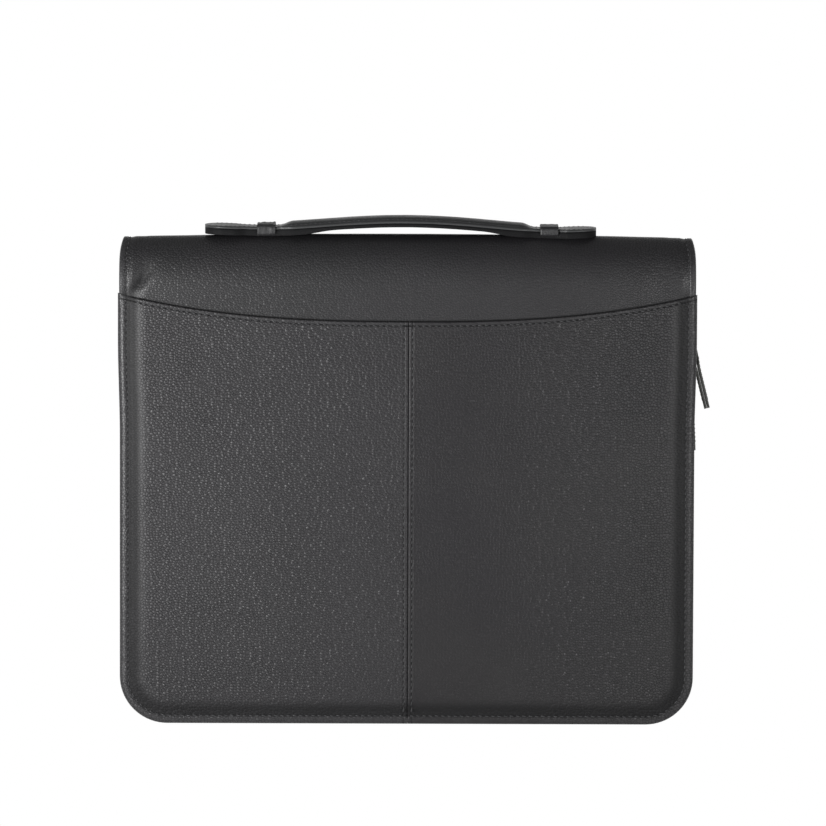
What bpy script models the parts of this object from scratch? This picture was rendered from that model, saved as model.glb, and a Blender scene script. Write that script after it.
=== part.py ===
"""A leather document case that closes with a zip on three sides and has a sliding top handle.

The case stands on the lower edges of its two covers. +Z is up, the handle runs along X, and the
back cover, with its pocket, faces -Y. The origin is the middle of the front cover's lower edge, on
the surface that the case stands on. The pieces are modelled about the case's middle plane, and one
empty carries them all to their place. All sizes are in metres.
"""

import math

import bmesh
import bpy
from mathutils import Vector

# The whole case.
CASE_WIDTH = 0.3576         # across the rims of the covers, low down
CASE_HEIGHT = 0.3058        # from the floor to the top of the spine
RIM_DEPTH = 0.035           # between the outer faces of the two rims
CORNER_RADIUS = 0.0300      # lower corners of each cover
PIECE_GAP = 0.0003          # between pieces that lie against each other

# The cover: one leather wall that runs from the back, over the spine, to the front.
COVER_WALL = 0.0032         # leather and board at the rim
PADDING = 0.0022            # how far the padded middle stands above the rim
RIM_WIDTH = 0.0050          # from the edge to the stitched groove
SLOPE_WIDTH = 0.0130        # from the stitched groove to the full padding
COVER_BULGE = 0.0010        # crown of each padded panel
EDGE_FROM = 0.28            # the flat of the cover's edge starts here, as a share of the wall
EDGE_TO = 0.81              # and ends here
SPINE_RISE = 0.0300         # height over which the cover bends into the spine
SPINE_DROOP = 0.0022        # how far the spine hangs lower at its ends
SPINE_PULL_IN = 0.0040      # how far its ends are drawn inwards at the top
PULL_IN_POWER = 6           # how close to the top that happens
EDGE_FLARE = 0.0012         # the covers widen towards the pocket's mouth
FLARE_START = 0.59          # share of the height where the widening starts
FLARE_END = 0.79            # share of the height where it is complete

# The pocket on the back cover: two panels that meet at the centre seam.
POCKET_SKIN = 0.0013        # leather over the panel
WRAP_SKIN = 0.0005          # the same leather, pared thin where it turns round the rim
MOUTH_HEIGHT = 0.2529       # lowest point of the pocket's mouth, at the seam
MOUTH_DROP = 0.0165         # how much higher the mouth is at its two ends
MOUTH_POWER = 2.6           # shape of the mouth's curve

# The zip round the three open sides.
SIDE_RECESS = 0.0053        # from the side rims in to the chain
BASE_RECESS = 0.0020        # from the floor up to the chain
CHAIN_WIDTH = 0.0050
CHAIN_THICKNESS = 0.0022
TAPE_THICKNESS = 0.0010
TAPE_STEP = 0.0006          # the tape lies this much below the chain's face
ZIP_CORNER_RADIUS = 0.0270

# Each slider, its ring and its leather pull.
SLIDER_LENGTH = 0.0120
SLIDER_WIDTH = 0.0080
SLIDER_PLATE = 0.0013
BAIL_OPENING = 0.0018       # clear height under the bail
BAIL_WIRE = 0.0011
BAIL_WIDTH = 0.0024
RING_WIRE = 0.0012          # diameter
RING_WIDTH = 0.0092         # between the wire's centre lines
RING_LENGTH = 0.0085        # between the wire's centre lines
PULL_LEATHER = 0.0015       # each of the two layers
PULL_SPREAD = 0.0006        # between the layers
PULL_WIDTH = 0.0110
PULL_NECK = 0.0066          # width where it goes through the ring
PULL_LENGTH = 0.0370        # below the ring's lower bar
PINCH_END = 0.35            # share of the length where the two layers have come together
UPPER_SLIDER_HEIGHT = 0.2412
SLIDER_SPACING = 0.0252     # from the upper slider down to the lower one
UPPER_PULL_LEAN = 14.0      # degrees, outwards
LOWER_PULL_LEAN = 2.8

# The handle, which slides through two keepers on the spine.
HANDLE_SHIFT = -0.0045      # it rests a little to the left
HANDLE_LAYER = 0.0017       # each of its two layers of leather
HANDLE_REST = 0.0005        # above the spine at the keepers
HANDLE_RISE = 0.0049        # further rise in the middle
RISE_POWER = 1.5            # shape of the arch
NECK_WIDTH = 0.0160         # where the strap goes through a keeper
GRIP_WIDTH = 0.0220
GRIP_LENGTH = 0.1600        # the padded stretch
GRIP_SHIFT = 0.0041         # of the padded stretch along the strap
GRIP_TAPER = 0.0090         # over which the padding falls away at its two ends
GRIP_TO_KEEPER = 0.0080     # from its end to the middle of a keeper, when the handle is centred
GRIP_PADDING = 0.0026
PADDLE_WIDTH = 0.0240       # the rounded ends that stop at the keepers
PADDLE_LENGTH = 0.0170
PADDLE_TAPER = 0.0085       # over which the strap widens into a paddle
PADDLE_LIFT = 0.0008
HANDLE_TILT = 0.0013        # how much higher its left end lies than its right one
STRAP_END = 0.0337          # from the middle of a keeper to the strap's end, likewise
KEEPER_WIDTH = 0.0115
KEEPER_LEATHER = 0.0013

# Sizes that follow from those above.
EDGE_WRAP = PIECE_GAP + WRAP_SKIN
HALF_DEPTH = RIM_DEPTH / 2
EDGE_MIDDLE = HALF_DEPTH - COVER_WALL * (EDGE_FROM + EDGE_TO) / 2    # from the middle plane
SPRING_HEIGHT = CASE_HEIGHT - PADDING - SPINE_RISE      # where the covers start to bend
PAD_INSET = RIM_WIDTH + SLOPE_WIDTH
KEEPER_SPACING = GRIP_LENGTH + 2 * GRIP_TO_KEEPER
HANDLE_LENGTH = KEEPER_SPACING + 2 * STRAP_END
LOWER_SLIDER_HEIGHT = UPPER_SLIDER_HEIGHT - SLIDER_SPACING
ARC_STEPS = 6
SPINE_STEPS = 12

# The cover's rim in section, from the full padding out to the edge. An inset counts from the
# edge: the first rows as shares of the slope outside the groove, the next as shares of the rim.
SLOPE_SECTION = (
    # share of the slope, share of the padding
    (1.00, 1.00),
    (0.62, 0.90),
    (0.31, 0.58),
    (0.12, 0.18),
)
RIM_SECTION = (
    # share of the rim's width, height as a share of the wall
    (1.00, -0.05),
    (0.80, 0.08),
    (0.48, 0.16),
    (0.18, 0.06),
    (0.00, -EDGE_FROM),
    (0.00, -EDGE_TO),
)

# The pocket's turned edges: shares of the hem's width and of its height.
HEM_WIDTH = 0.0060
HEM_HEIGHT = 0.0004
HEM_BLEND = 0.0150          # below the mouth, where the rows follow its curve for the last time
HEM_SECTION = (
    # share of the hem's width, share of its height
    (0.00, -1.20),
    (0.12, 0.80),
    (0.32, 1.00),
    (0.45, -0.40),
    (0.60, 0.25),
    (1.00, 0.00),
)
SEAM_WIDTH = 0.0060
SEAM_SECTION = (
    # share of the seam's width, share of the hem's height
    (0.00, -1.60),
    (0.12, 0.10),
    (0.27, 0.40),
    (0.42, -0.60),
    (0.58, 0.10),
    (1.00, 0.00),
)

# Shallow creases in the back cover above the pocket, near the ends of the spine.
CREASES = (
    # across: share of the half width. up: share of the height. slant: in degrees.
    # length and width: shares of the case's width. depth: share of the padding.
    {"across": -0.935, "up": 0.905, "slant": 34, "length": 0.048, "width": 0.013, "depth": 0.45},
    {"across": 0.925, "up": 0.908, "slant": -62, "length": 0.039, "width": 0.015, "depth": 0.32},
    {"across": 0.0, "up": 0.925, "slant": 0, "length": 0.310, "width": 0.028, "depth": 0.18},
)

BLACK_LEATHER = {"name": "black_leather", "colour": (0.020, 0.019, 0.021), "rough": 0.55, "metal": 0.0}
EDGE_LEATHER = {"name": "handle_leather", "colour": (0.022, 0.023, 0.024), "rough": 0.45, "metal": 0.0}
ZIP_FABRIC = {"name": "zip_fabric", "colour": (0.012, 0.012, 0.013), "rough": 0.85, "metal": 0.0}
ZIP_TEETH = {"name": "zip_teeth", "colour": (0.020, 0.020, 0.022), "rough": 0.35, "metal": 0.0}
DARK_METAL = {"name": "dark_metal", "colour": (0.30, 0.30, 0.31), "rough": 0.30, "metal": 1.0}


def smoothstep(share):
    share = min(1.0, max(0.0, share))
    return share * share * (3 - 2 * share)


def mix(a, b, share):
    return a + (b - a) * share


def interpolate(table, at):
    """The second column of a table at a place in its first column."""
    if at <= table[0][0]:
        return table[0][1]
    for (low, low_value), (high, high_value) in zip(table, table[1:]):
        if at <= high:
            return mix(low_value, high_value, (at - low) / (high - low))
    return table[-1][1]


def clear_scene():
    for thing in list(bpy.data.objects):
        bpy.data.objects.remove(thing, do_unlink=True)


def material(finish):
    made = bpy.data.materials.get(finish["name"])
    if made:
        return made
    made = bpy.data.materials.new(finish["name"])
    made.use_nodes = True
    shader = made.node_tree.nodes["Principled BSDF"]
    shader.inputs["Base Color"].default_value = (*finish["colour"], 1.0)
    shader.inputs["Roughness"].default_value = finish["rough"]
    shader.inputs["Metallic"].default_value = finish["metal"]
    return made


def add_solid(name, points, faces, finish, smooth_deg=40):
    """A closed mesh object from points and faces, its faces turned outwards."""
    mesh = bpy.data.meshes.new(name)
    mesh.from_pydata([tuple(p) for p in points], [], faces)
    work = bmesh.new()
    work.from_mesh(mesh)
    bmesh.ops.recalc_face_normals(work, faces=work.faces)
    work.to_mesh(mesh)
    work.free()
    mesh.shade_smooth()
    mesh.set_sharp_from_angle(angle=math.radians(smooth_deg))
    mesh.materials.append(material(finish))
    made = bpy.data.objects.new(name, mesh)
    bpy.context.scene.collection.objects.link(made)
    return made


def loft(name, sections, finish, smooth_deg=40):
    """A solid through sections that all have the same number of points, closed at both ends."""
    points = [p for section in sections for p in section]
    sides = len(sections[0])
    faces = []
    for i in range(len(sections) - 1):
        for j in range(sides):
            a, b = i * sides + j, i * sides + (j + 1) % sides
            faces.append((a, b, b + sides, a + sides))
    faces.append(tuple(range(sides)))
    faces.append(tuple(range(len(points) - sides, len(points))))
    return add_solid(name, points, faces, finish, smooth_deg)


# The cover's surface.

def cover_half_width(z):
    """Half the width of a cover at a height, without the pocket's leather round the rim."""
    grown = smoothstep((z / CASE_HEIGHT - FLARE_START) / (FLARE_END - FLARE_START))
    return CASE_WIDTH / 2 - EDGE_WRAP + EDGE_FLARE * grown


def spine_rise(x):
    return SPINE_RISE - SPINE_DROOP * (2 * abs(x) / CASE_WIDTH) ** 2


def place_of(station, inset):
    """(x, side, where) of a station on the cover's outline, moved in by an inset.

    A station is (side, kind, value): an angle on a corner or on the spine, or a height.
    """
    side, kind, value = station
    floor = EDGE_WRAP if side == "back" else 0.0
    if kind == "corner":
        reach = CORNER_RADIUS - inset
        x = cover_half_width(0) - CORNER_RADIUS + reach * math.sin(value)
        return x, side, floor + CORNER_RADIUS - reach * math.cos(value)
    if kind == "edge":
        return cover_half_width(value) - inset, side, value
    drawn_in = SPINE_PULL_IN * math.sin(value) ** PULL_IN_POWER
    return cover_half_width(CASE_HEIGHT) - drawn_in - inset, "spine", value


def creases(x, z):
    depth = 0.0
    for crease in CREASES:
        dx = x - crease["across"] * CASE_WIDTH / 2
        dz = z - crease["up"] * CASE_HEIGHT
        slant = math.radians(crease["slant"])
        along = dx * math.cos(slant) + dz * math.sin(slant)
        across = dz * math.cos(slant) - dx * math.sin(slant)
        length, width = crease["length"] * CASE_WIDTH, crease["width"] * CASE_WIDTH
        fall = (along / length) ** 2 + (across / width) ** 2
        depth += crease["depth"] * PADDING * math.exp(-fall)
    return depth


def panel_relief(x, side, where):
    """Crown and creases of the padded panels."""
    if side == "spine":
        z = SPRING_HEIGHT + spine_rise(x) * math.sin(where)
        return -creases(x, z) if where < math.pi / 2 else 0.0
    up = min(1.0, max(0.0, where / SPRING_HEIGHT))
    crown = COVER_BULGE * (1 - (2 * x / CASE_WIDTH) ** 2) * 4 * up * (1 - up)
    return crown - (creases(x, where) if side == "back" else 0.0)


def shell_point(x, side, where, lift):
    """A point at a height above the cover's base surface, which goes through both rims."""
    if side == "spine":
        rise = spine_rise(x)
        base = Vector((x, -HALF_DEPTH * math.cos(where), SPRING_HEIGHT + rise * math.sin(where)))
        out = Vector((0, -math.cos(where) / HALF_DEPTH, math.sin(where) / rise)).normalized()
    else:
        out = Vector((0, -1 if side == "back" else 1, 0))
        base = Vector((x, 0, where)) + out * HALF_DEPTH
    return base + out * lift


def rim_section():
    """(inset, height) of the cover's outer face, from the full padding out round the edge."""
    slope = [(RIM_WIDTH + a * SLOPE_WIDTH, b * PADDING) for a, b in SLOPE_SECTION]
    return slope + [(a * RIM_WIDTH, b * COVER_WALL) for a, b in RIM_SECTION]


def padded_share(height):
    return min(1.0, max(0.0, height / PADDING))


def side_stations(side, heights):
    """The stations of one side of a cover, from its lower corner up."""
    corner = [(side, "corner", math.pi / 2 * i / ARC_STEPS) for i in range(ARC_STEPS + 1)]
    return corner + [(side, "edge", z) for z in heights]


def make_cover():
    """Back cover, spine and front cover in one wall, open below and at both sides."""
    back_shares = (0.35, 0.62, 0.78, 0.90, 0.96)
    front_shares = (0.35, 0.70)
    stations = side_stations("back", [s * SPRING_HEIGHT for s in back_shares])
    stations += [("back", "spine", math.pi * i / SPINE_STEPS) for i in range(SPINE_STEPS + 1)]
    stations += side_stations("front", [s * SPRING_HEIGHT for s in front_shares])[::-1]
    columns = (-1.0, -0.88, -0.70, -0.40, 0.0, 0.40, 0.70, 0.88, 1.0)
    inner = [(0.10 * RIM_WIDTH, -COVER_WALL), (PAD_INSET, -COVER_WALL)]
    levels = rim_section() + inner
    outer_levels = len(levels) - len(inner)

    points, faces = [], []

    def add(x, side, where, height, on_outside):
        lift = height
        if on_outside:
            lift += padded_share(height) * panel_relief(x, side, where)
        points.append(shell_point(x, side, where, lift))
        return len(points) - 1

    def ring(level):
        """The point numbers round the outline at one level, and each row's two ends."""
        inset, height = levels[level]
        outside = level < outer_levels
        right, left = [], []
        for station in stations:
            x, side, where = place_of(station, inset)
            right.append(add(x, side, where, height, outside))
            left.append(add(-x, side, where, height, outside))
        ends = []
        for station in (stations[0], stations[-1]):
            x, side, where = place_of(station, inset)
            ends.append([add(c * x, side, where, height, outside) for c in columns[1:-1]])
        first, last = ends
        loop = right + last[::-1] + left[::-1] + first
        return loop, right, left, first, last

    def fill(level_ring, height, on_outside):
        """The rows between the two sides of a ring."""
        _, right, left, first, last = level_ring
        rows = [[left[0], *first, right[0]]]
        for i in range(1, len(stations) - 1):
            x, side, where = place_of(stations[i], PAD_INSET)
            middle = [add(c * x, side, where, height, on_outside) for c in columns[1:-1]]
            rows.append([left[i], *middle, right[i]])
        rows.append([left[-1], *last, right[-1]])
        for low, high in zip(rows, rows[1:]):
            for j in range(len(columns) - 1):
                faces.append((low[j], low[j + 1], high[j + 1], high[j]))

    rings = [ring(level) for level in range(len(levels))]
    for one, other in zip(rings, rings[1:]):
        count = len(one[0])
        for i in range(count):
            j = (i + 1) % count
            faces.append((one[0][i], one[0][j], other[0][j], other[0][i]))
    fill(rings[0], levels[0][1], True)
    fill(rings[-1], levels[-1][1], False)
    return add_solid("cover", points, faces, BLACK_LEATHER)


# The pocket.

def mouth_height(x):
    return MOUTH_HEIGHT + MOUTH_DROP * (2 * abs(x) / CASE_WIDTH) ** MOUTH_POWER


def offset_section(section, distances):
    """A section moved outwards, away from the cover, by a distance at each of its points."""
    moved = []
    last = len(section) - 1
    for i, (inset, height) in enumerate(section):
        before = section[max(0, i - 1)]
        after = section[min(last, i + 1)]
        # Insets fall along the section, so this normal points away from the cover.
        normal = Vector((after[1] - before[1], before[0] - after[0]))
        if i == 0:
            normal = Vector((0, 1))
        if inset == 0:
            normal = Vector((-1, 0))
        normal.normalize()
        moved.append((inset + normal.x * distances[i], height + normal.y * distances[i]))
    return moved


def make_pocket_panel(name, hand):
    """One half of the pocket. hand is -1 on the left and 1 on the right of the seam."""
    section = rim_section()
    skins = []
    for inset, _ in section:
        skins.append(mix(WRAP_SKIN, POCKET_SKIN, smoothstep(inset / RIM_WIDTH)))
    outer = offset_section(section, [PIECE_GAP + skin for skin in skins])
    inner = offset_section(section, [PIECE_GAP] * len(section))
    seam_x = PIECE_GAP / 2
    levels = [(inset, height, True) for inset, height in outer]
    levels += [(inset, height, False) for inset, height in inner[::-1]]

    heights = [share * MOUTH_HEIGHT for share in (0.40, 0.68, 0.86)]
    stations = side_stations("back", heights)
    below_mouth = [HEM_BLEND] + [a * HEM_WIDTH for a, _ in reversed(HEM_SECTION)]
    rows = len(stations) + len(below_mouth)
    near_seam = [a * SEAM_WIDTH for a, _ in SEAM_SECTION]
    wide = (0.20, 0.45, 0.72, 0.90, 1.0)

    points, faces = [], []

    def edge_of(row, inset):
        """(x, z) on the outline at a row, moved in by an inset."""
        if row < len(stations):
            x, _, z = place_of(stations[row], inset)
            return x, z
        down = below_mouth[row - len(stations)]
        x = cover_half_width(MOUTH_HEIGHT) - inset
        z = mouth_height(x) - down
        return cover_half_width(z) - inset, z

    def column_x(column, x_end):
        if column < len(near_seam):
            return seam_x + near_seam[column]
        start = seam_x + near_seam[-1]
        return mix(start, x_end, wide[column - len(near_seam)])

    columns = len(near_seam) + len(wide)

    def add(x, z, inset, height, on_outside):
        lift = height + padded_share(height) * panel_relief(hand * x, "back", z)
        if on_outside:
            hem = interpolate(HEM_SECTION, (mouth_height(x) - z) / HEM_WIDTH)
            seam = interpolate(SEAM_SECTION, (x - seam_x) / SEAM_WIDTH)
            lift += HEM_HEIGHT * (hem + seam) * smoothstep(inset / RIM_WIDTH)
        points.append(shell_point(hand * x, "back", z, lift))
        return len(points) - 1

    def path(level):
        """Along the bottom from the seam, round the corner and up the side to the mouth."""
        inset, height, outside = levels[level]
        x_end, z = edge_of(0, inset)
        numbers = [add(column_x(c, x_end), z, inset, height, outside) for c in range(columns - 1)]
        for row in range(rows):
            x, z = edge_of(row, inset)
            numbers.append(add(x, z, inset, height, outside))
        return numbers

    def fill(numbers, level):
        """The rows of the panel between the seam and the side. Returns them all."""
        inset, height, outside = levels[level]
        grid = [numbers[:columns]]
        for row in range(1, rows):
            x_end, z = edge_of(row, inset)
            line = []
            for c in range(columns - 1):
                x = column_x(c, x_end)
                if row >= len(stations):
                    z = mouth_height(x) - below_mouth[row - len(stations)]
                line.append(add(x, z, inset, height, outside))
            grid.append([*line, numbers[columns - 1 + row]])
        for low, high in zip(grid, grid[1:]):
            for j in range(columns - 1):
                faces.append((low[j], low[j + 1], high[j + 1], high[j]))
        return grid

    paths = [path(level) for level in range(len(levels))]
    for one, other in zip(paths, paths[1:]):
        for i in range(len(one) - 1):
            faces.append((one[i], one[i + 1], other[i + 1], other[i]))
    front = fill(paths[0], 0)
    rear = fill(paths[-1], len(levels) - 1)
    for row in range(rows - 1):
        faces.append((front[row][0], front[row + 1][0], rear[row + 1][0], rear[row][0]))
    for c in range(columns - 1):
        faces.append((front[-1][c], front[-1][c + 1], rear[-1][c + 1], rear[-1][c]))
    for end in (0, -1):
        numbers = [one[end] for one in paths]
        half = len(numbers) // 2
        for i in range(half - 1):
            faces.append((numbers[i], numbers[i + 1], numbers[-2 - i], numbers[-1 - i]))
    return add_solid(name, points, faces, BLACK_LEATHER)


# The zip.

def zip_path(depth):
    """Stations (x, z, out, arch angle) of the zip's line, at a depth below the chain's face.

    The line runs from the left end of the spine, round the bottom, to its right end. The arch
    angle tells how far a station lies up inside the spine.
    """
    side_x = CASE_WIDTH / 2 - SIDE_RECESS
    radius = ZIP_CORNER_RADIUS
    arches = [math.radians(a) for a in (60, 45, 30, 15, 0)]
    half = []
    for angle in arches:
        _, z = arch_inside(side_x, angle)
        half.append((side_x, z, (1, 0), angle))
    straight = SPRING_HEIGHT - BASE_RECESS - radius
    for share in (0.66, 0.33):
        half.append((side_x, BASE_RECESS + radius + share * straight, (1, 0), 0.0))
    for i in range(ARC_STEPS + 1):
        turn = math.pi / 2 * i / ARC_STEPS
        out = (math.cos(turn), -math.sin(turn))
        x = side_x - radius + radius * out[0]
        half.append((x, BASE_RECESS + radius + radius * out[1], out, 0.0))
    right = [(x - out[0] * depth, z - out[1] * depth, out, a) for x, z, out, a in half]
    left = [(-x, z, (-out[0], out[1]), a) for x, z, out, a in right]
    return left + right[::-1]


def arch_inside(x, angle):
    """(distance from the middle plane, height) of the cover's inner face on the spine."""
    point = shell_point(x, "spine", angle, -COVER_WALL)
    return -point.y, point.z


def strip_section(station, thickness, y_low, y_high):
    """The four corners of a flat strip that lies on the zip's line."""
    x, z, (out_x, out_z), _ = station
    deep_x, deep_z = x - out_x * thickness, z - out_z * thickness
    return (
        Vector((x, y_low, z)),
        Vector((x, y_high, z)),
        Vector((deep_x, y_high, deep_z)),
        Vector((deep_x, y_low, deep_z)),
    )


def make_zip():
    chain = [
        strip_section(s, CHAIN_THICKNESS, -CHAIN_WIDTH / 2, CHAIN_WIDTH / 2) for s in zip_path(0.0)
    ]
    loft("zip_chain", chain, ZIP_TEETH, smooth_deg=25)
    near = CHAIN_WIDTH / 2 + PIECE_GAP
    for name, hand in (("zip_tape_back", -1), ("zip_tape_front", 1)):
        sections = []
        for station in zip_path(TAPE_STEP):
            far = arch_inside(station[0], station[3])[0] - PIECE_GAP
            low, high = sorted((hand * near, hand * far))
            sections.append(strip_section(station, TAPE_THICKNESS, low, high))
        loft(name, sections, ZIP_FABRIC, smooth_deg=25)


def zip_frame(height):
    """A point on the right side's zip chain, with the directions outwards and up along it."""
    origin = Vector((CASE_WIDTH / 2 - SIDE_RECESS, 0, height))
    return origin, Vector((1, 0, 0)), Vector((0, 0, 1))


def extrude_outline(name, outline, half_width, finish):
    """A solid from an outline of points in the XZ plane, extruded to both sides along Y."""
    front = [Vector((p.x, -half_width, p.z)) for p in outline]
    rear = [Vector((p.x, half_width, p.z)) for p in outline]
    return loft(name, [front, rear], finish)


def join_solids(target, other):
    """Boolean union of two overlapping solids. The second one is used up."""
    union = target.modifiers.new("Joined", "BOOLEAN")
    union.operation = "UNION"
    union.solver = "EXACT"
    union.object = other
    graph = bpy.context.evaluated_depsgraph_get()
    merged = bpy.data.meshes.new_from_object(target.evaluated_get(graph))
    target.modifiers.clear()
    target.data = merged
    bpy.data.objects.remove(other, do_unlink=True)


def make_slider(name, height):
    """The slider's plate over the chain, with the bail that the ring hangs from."""
    origin, out, along = zip_frame(height)
    half = SLIDER_LENGTH / 2
    nose = 0.25 * SLIDER_LENGTH

    def at(a, b):
        return origin + along * a + out * b

    low, high = PIECE_GAP, PIECE_GAP + SLIDER_PLATE
    plate = []
    for along_at, share in ((-half, 0.75), (-half + nose, 1.0), (half - nose, 1.0), (half, 0.62)):
        y = share * SLIDER_WIDTH / 2
        corners = ((-y, low), (y, low), (y, high), (-y, high))
        plate.append([at(along_at, b) + Vector((0, c, 0)) for c, b in corners])
    slider = loft(name, plate, DARK_METAL, smooth_deg=25)

    foot = 0.42 * SLIDER_LENGTH
    opening = 0.27 * SLIDER_LENGTH
    base = high - 0.4 * SLIDER_PLATE
    inside = high + BAIL_OPENING
    top = inside + BAIL_WIRE
    outline = [at(*p) for p in (
        (-foot, base),
        (-foot, mix(high, top, 0.55)),
        (-opening, top),
        (opening, top),
        (foot, mix(high, top, 0.55)),
        (foot, base),
        (opening, base),
        (opening, mix(high, inside, 0.70)),
        (0.70 * opening, inside),
        (-0.70 * opening, inside),
        (-opening, mix(high, inside, 0.70)),
        (-opening, base),
    )]
    join_solids(slider, extrude_outline(name + "_bail", outline, BAIL_WIDTH / 2, DARK_METAL))


def pull_frame(height, lean_deg):
    """The ring's upper bar, and the directions down the pull and out from it."""
    origin, out, along = zip_frame(height)
    bar = origin + out * (PIECE_GAP + SLIDER_PLATE + BAIL_OPENING / 2)
    lean = math.radians(lean_deg)
    down = out * math.sin(lean) - along * math.cos(lean)
    away = out * math.cos(lean) + along * math.sin(lean)
    return bar, down, away


def make_ring(name, bar, down, away):
    """A closed wire ring with rounded corners, through the bail and the leather's loop."""
    across = Vector((0, 1, 0))
    corner = 1.6 * RING_WIRE
    sides, turns = 8, 4
    points, faces = [], []
    path = []
    corners = (
        (RING_WIDTH / 2 - corner, corner, -90),
        (RING_WIDTH / 2 - corner, RING_LENGTH - corner, 0),
        (-RING_WIDTH / 2 + corner, RING_LENGTH - corner, 90),
        (-RING_WIDTH / 2 + corner, corner, 180),
    )
    for centre_across, centre_down, start in corners:
        for i in range(turns + 1):
            turn = math.radians(start + 90 * i / turns)
            radial = across * math.cos(turn) + down * math.sin(turn)
            centre = bar + across * centre_across + down * centre_down
            path.append((centre + radial * corner, radial))
    for centre, radial in path:
        for j in range(sides):
            turn = 2 * math.pi * (j + 0.5) / sides
            arm = radial * math.cos(turn) + away * math.sin(turn)
            points.append(centre + arm * RING_WIRE / 2)
    for i in range(len(path)):
        k = (i + 1) % len(path)
        for j in range(sides):
            m = (j + 1) % sides
            faces.append((i * sides + j, i * sides + m, k * sides + m, k * sides + j))
    add_solid(name, points, faces, DARK_METAL, smooth_deg=60)


def pull_half_width(down):
    """Half the width of the leather at a distance below the ring's lower bar."""
    grown = smoothstep((down - RING_WIRE) / (0.22 * PULL_LENGTH))
    half = mix(PULL_NECK, PULL_WIDTH, grown) / 2
    end = PULL_LENGTH - down
    radius = PULL_WIDTH / 2
    if end < radius:
        half = min(half, math.sqrt(max(0.0, radius ** 2 - (radius - end) ** 2)))
    return max(half, 0.25 * radius)


def make_pull(name, bar, down, away):
    """One strip of leather folded round the ring's lower bar, its two layers side by side."""
    lower_bar = bar + down * RING_LENGTH
    hollow = RING_WIRE / 2 + PIECE_GAP
    shares = (1.0, 0.985, 0.95, 0.90, 0.84, 0.60, 0.35, 0.22, 0.13, 0.07)
    line = []
    for share in shares:
        pinch = smoothstep(share / PINCH_END)
        line.append((share * PULL_LENGTH, mix(hollow, PULL_SPREAD / 2, pinch)))
    outer_side = [(lower_bar + down * d + away * s, away, d) for d, s in line]
    inner_side = [(lower_bar + down * d - away * s, -away, d) for d, s in line]
    loop = []
    for i in range(7):
        turn = math.pi * i / 6
        radial = away * math.cos(turn) - down * math.sin(turn)
        loop.append((lower_bar + radial * hollow, radial, 0.0))
    stations = outer_side + loop + inner_side[::-1]
    sections = []
    for base, normal, distance in stations:
        half = Vector((0, pull_half_width(distance), 0))
        top = base + normal * PULL_LEATHER
        sections.append((base - half, base + half, top + half, top - half))
    loft(name, sections, BLACK_LEATHER, smooth_deg=30)


# The handle.

def crown_height(x):
    """Top of the spine under the handle."""
    z = SPRING_HEIGHT + spine_rise(x)
    return z + PADDING + panel_relief(x, "spine", math.pi / 2 - 0.001)


def strap_bottom(x):
    """Height of the strap's underside."""
    span = KEEPER_SPACING / 2
    level = crown_height(0) + HANDLE_REST - HANDLE_TILT * x / HANDLE_LENGTH
    if abs(x) < span:
        arch = max(0.0, math.cos(math.pi * x / (2 * span))) ** RISE_POWER
        return level + HANDLE_RISE * arch
    beyond = (abs(x) - span) / (HANDLE_LENGTH / 2 - span)
    return level + PADDLE_LIFT * smoothstep(beyond)


def strap_half_width(x):
    """Half the width of the strap: wide over the grip, narrow at the keepers, round paddles."""
    from_middle = abs(x - HANDLE_SHIFT)
    end = HANDLE_LENGTH / 2 - from_middle
    grip = grip_share(x)
    half = mix(NECK_WIDTH, GRIP_WIDTH, grip) / 2
    half = mix(PADDLE_WIDTH / 2, half, smoothstep((end - PADDLE_LENGTH) / PADDLE_TAPER))
    radius = PADDLE_WIDTH / 2
    if end < radius:
        half = min(half, math.sqrt(max(0.0, radius ** 2 - (radius - end) ** 2)))
    return max(half, 0.22 * radius)


def grip_share(x):
    """1 over the padded stretch, falling to 0 at its two ends."""
    from_middle = abs(x - HANDLE_SHIFT - GRIP_SHIFT)
    return smoothstep((GRIP_LENGTH / 2 - from_middle) / GRIP_TAPER)


def strap_stations():
    half = HANDLE_LENGTH / 2
    inner = half - PADDLE_LENGTH - PADDLE_TAPER
    grip = GRIP_LENGTH / 2
    radius = PADDLE_WIDTH / 2
    xs = [half - radius * s for s in (0.0, 0.04, 0.14, 0.32, 0.60, 1.0)]
    xs += [inner + PADDLE_TAPER * s for s in (1.0, 0.6, 0.3, 0.0)]
    whole = sorted({HANDLE_SHIFT + hand * x for x in xs for hand in (-1, 1)})
    middle = HANDLE_SHIFT + GRIP_SHIFT
    grip_xs = [middle + hand * (grip - s * GRIP_TAPER) for s in (0, 0.35, 0.65, 1) for hand in (-1, 1)]
    grip_xs += [middle + grip * s for s in (-0.75, -0.6, -0.45, -0.3, -0.15, 0, 0.15, 0.3, 0.45, 0.6, 0.75)]
    return sorted(whole + grip_xs)


def make_handle():
    """Two layers of leather, the upper one domed over the grip's padding."""
    lower, upper = [], []
    # Shares of the half width, and of the padding, across the upper layer's top.
    dome = ((1.0, 0.0), (0.82, 0.42), (0.45, 0.88), (0.0, 1.0), (-0.45, 0.88), (-0.82, 0.42), (-1.0, 0.0))
    for x in strap_stations():
        half, z = strap_half_width(x), strap_bottom(x)
        top = z + HANDLE_LAYER
        lower.append([Vector((x, y, h)) for y, h in ((-half, z), (half, z), (half, top), (-half, top))])
        base = top + PIECE_GAP
        raised = GRIP_PADDING * grip_share(x)
        section = [Vector((x, -half, base)), Vector((x, half, base))]
        section += [Vector((x, a * half, base + HANDLE_LAYER + b * raised)) for a, b in dome]
        upper.append(section)
    loft("handle_lower_strap", lower, EDGE_LEATHER)
    loft("handle_upper_strap", upper, EDGE_LEATHER)


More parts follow.
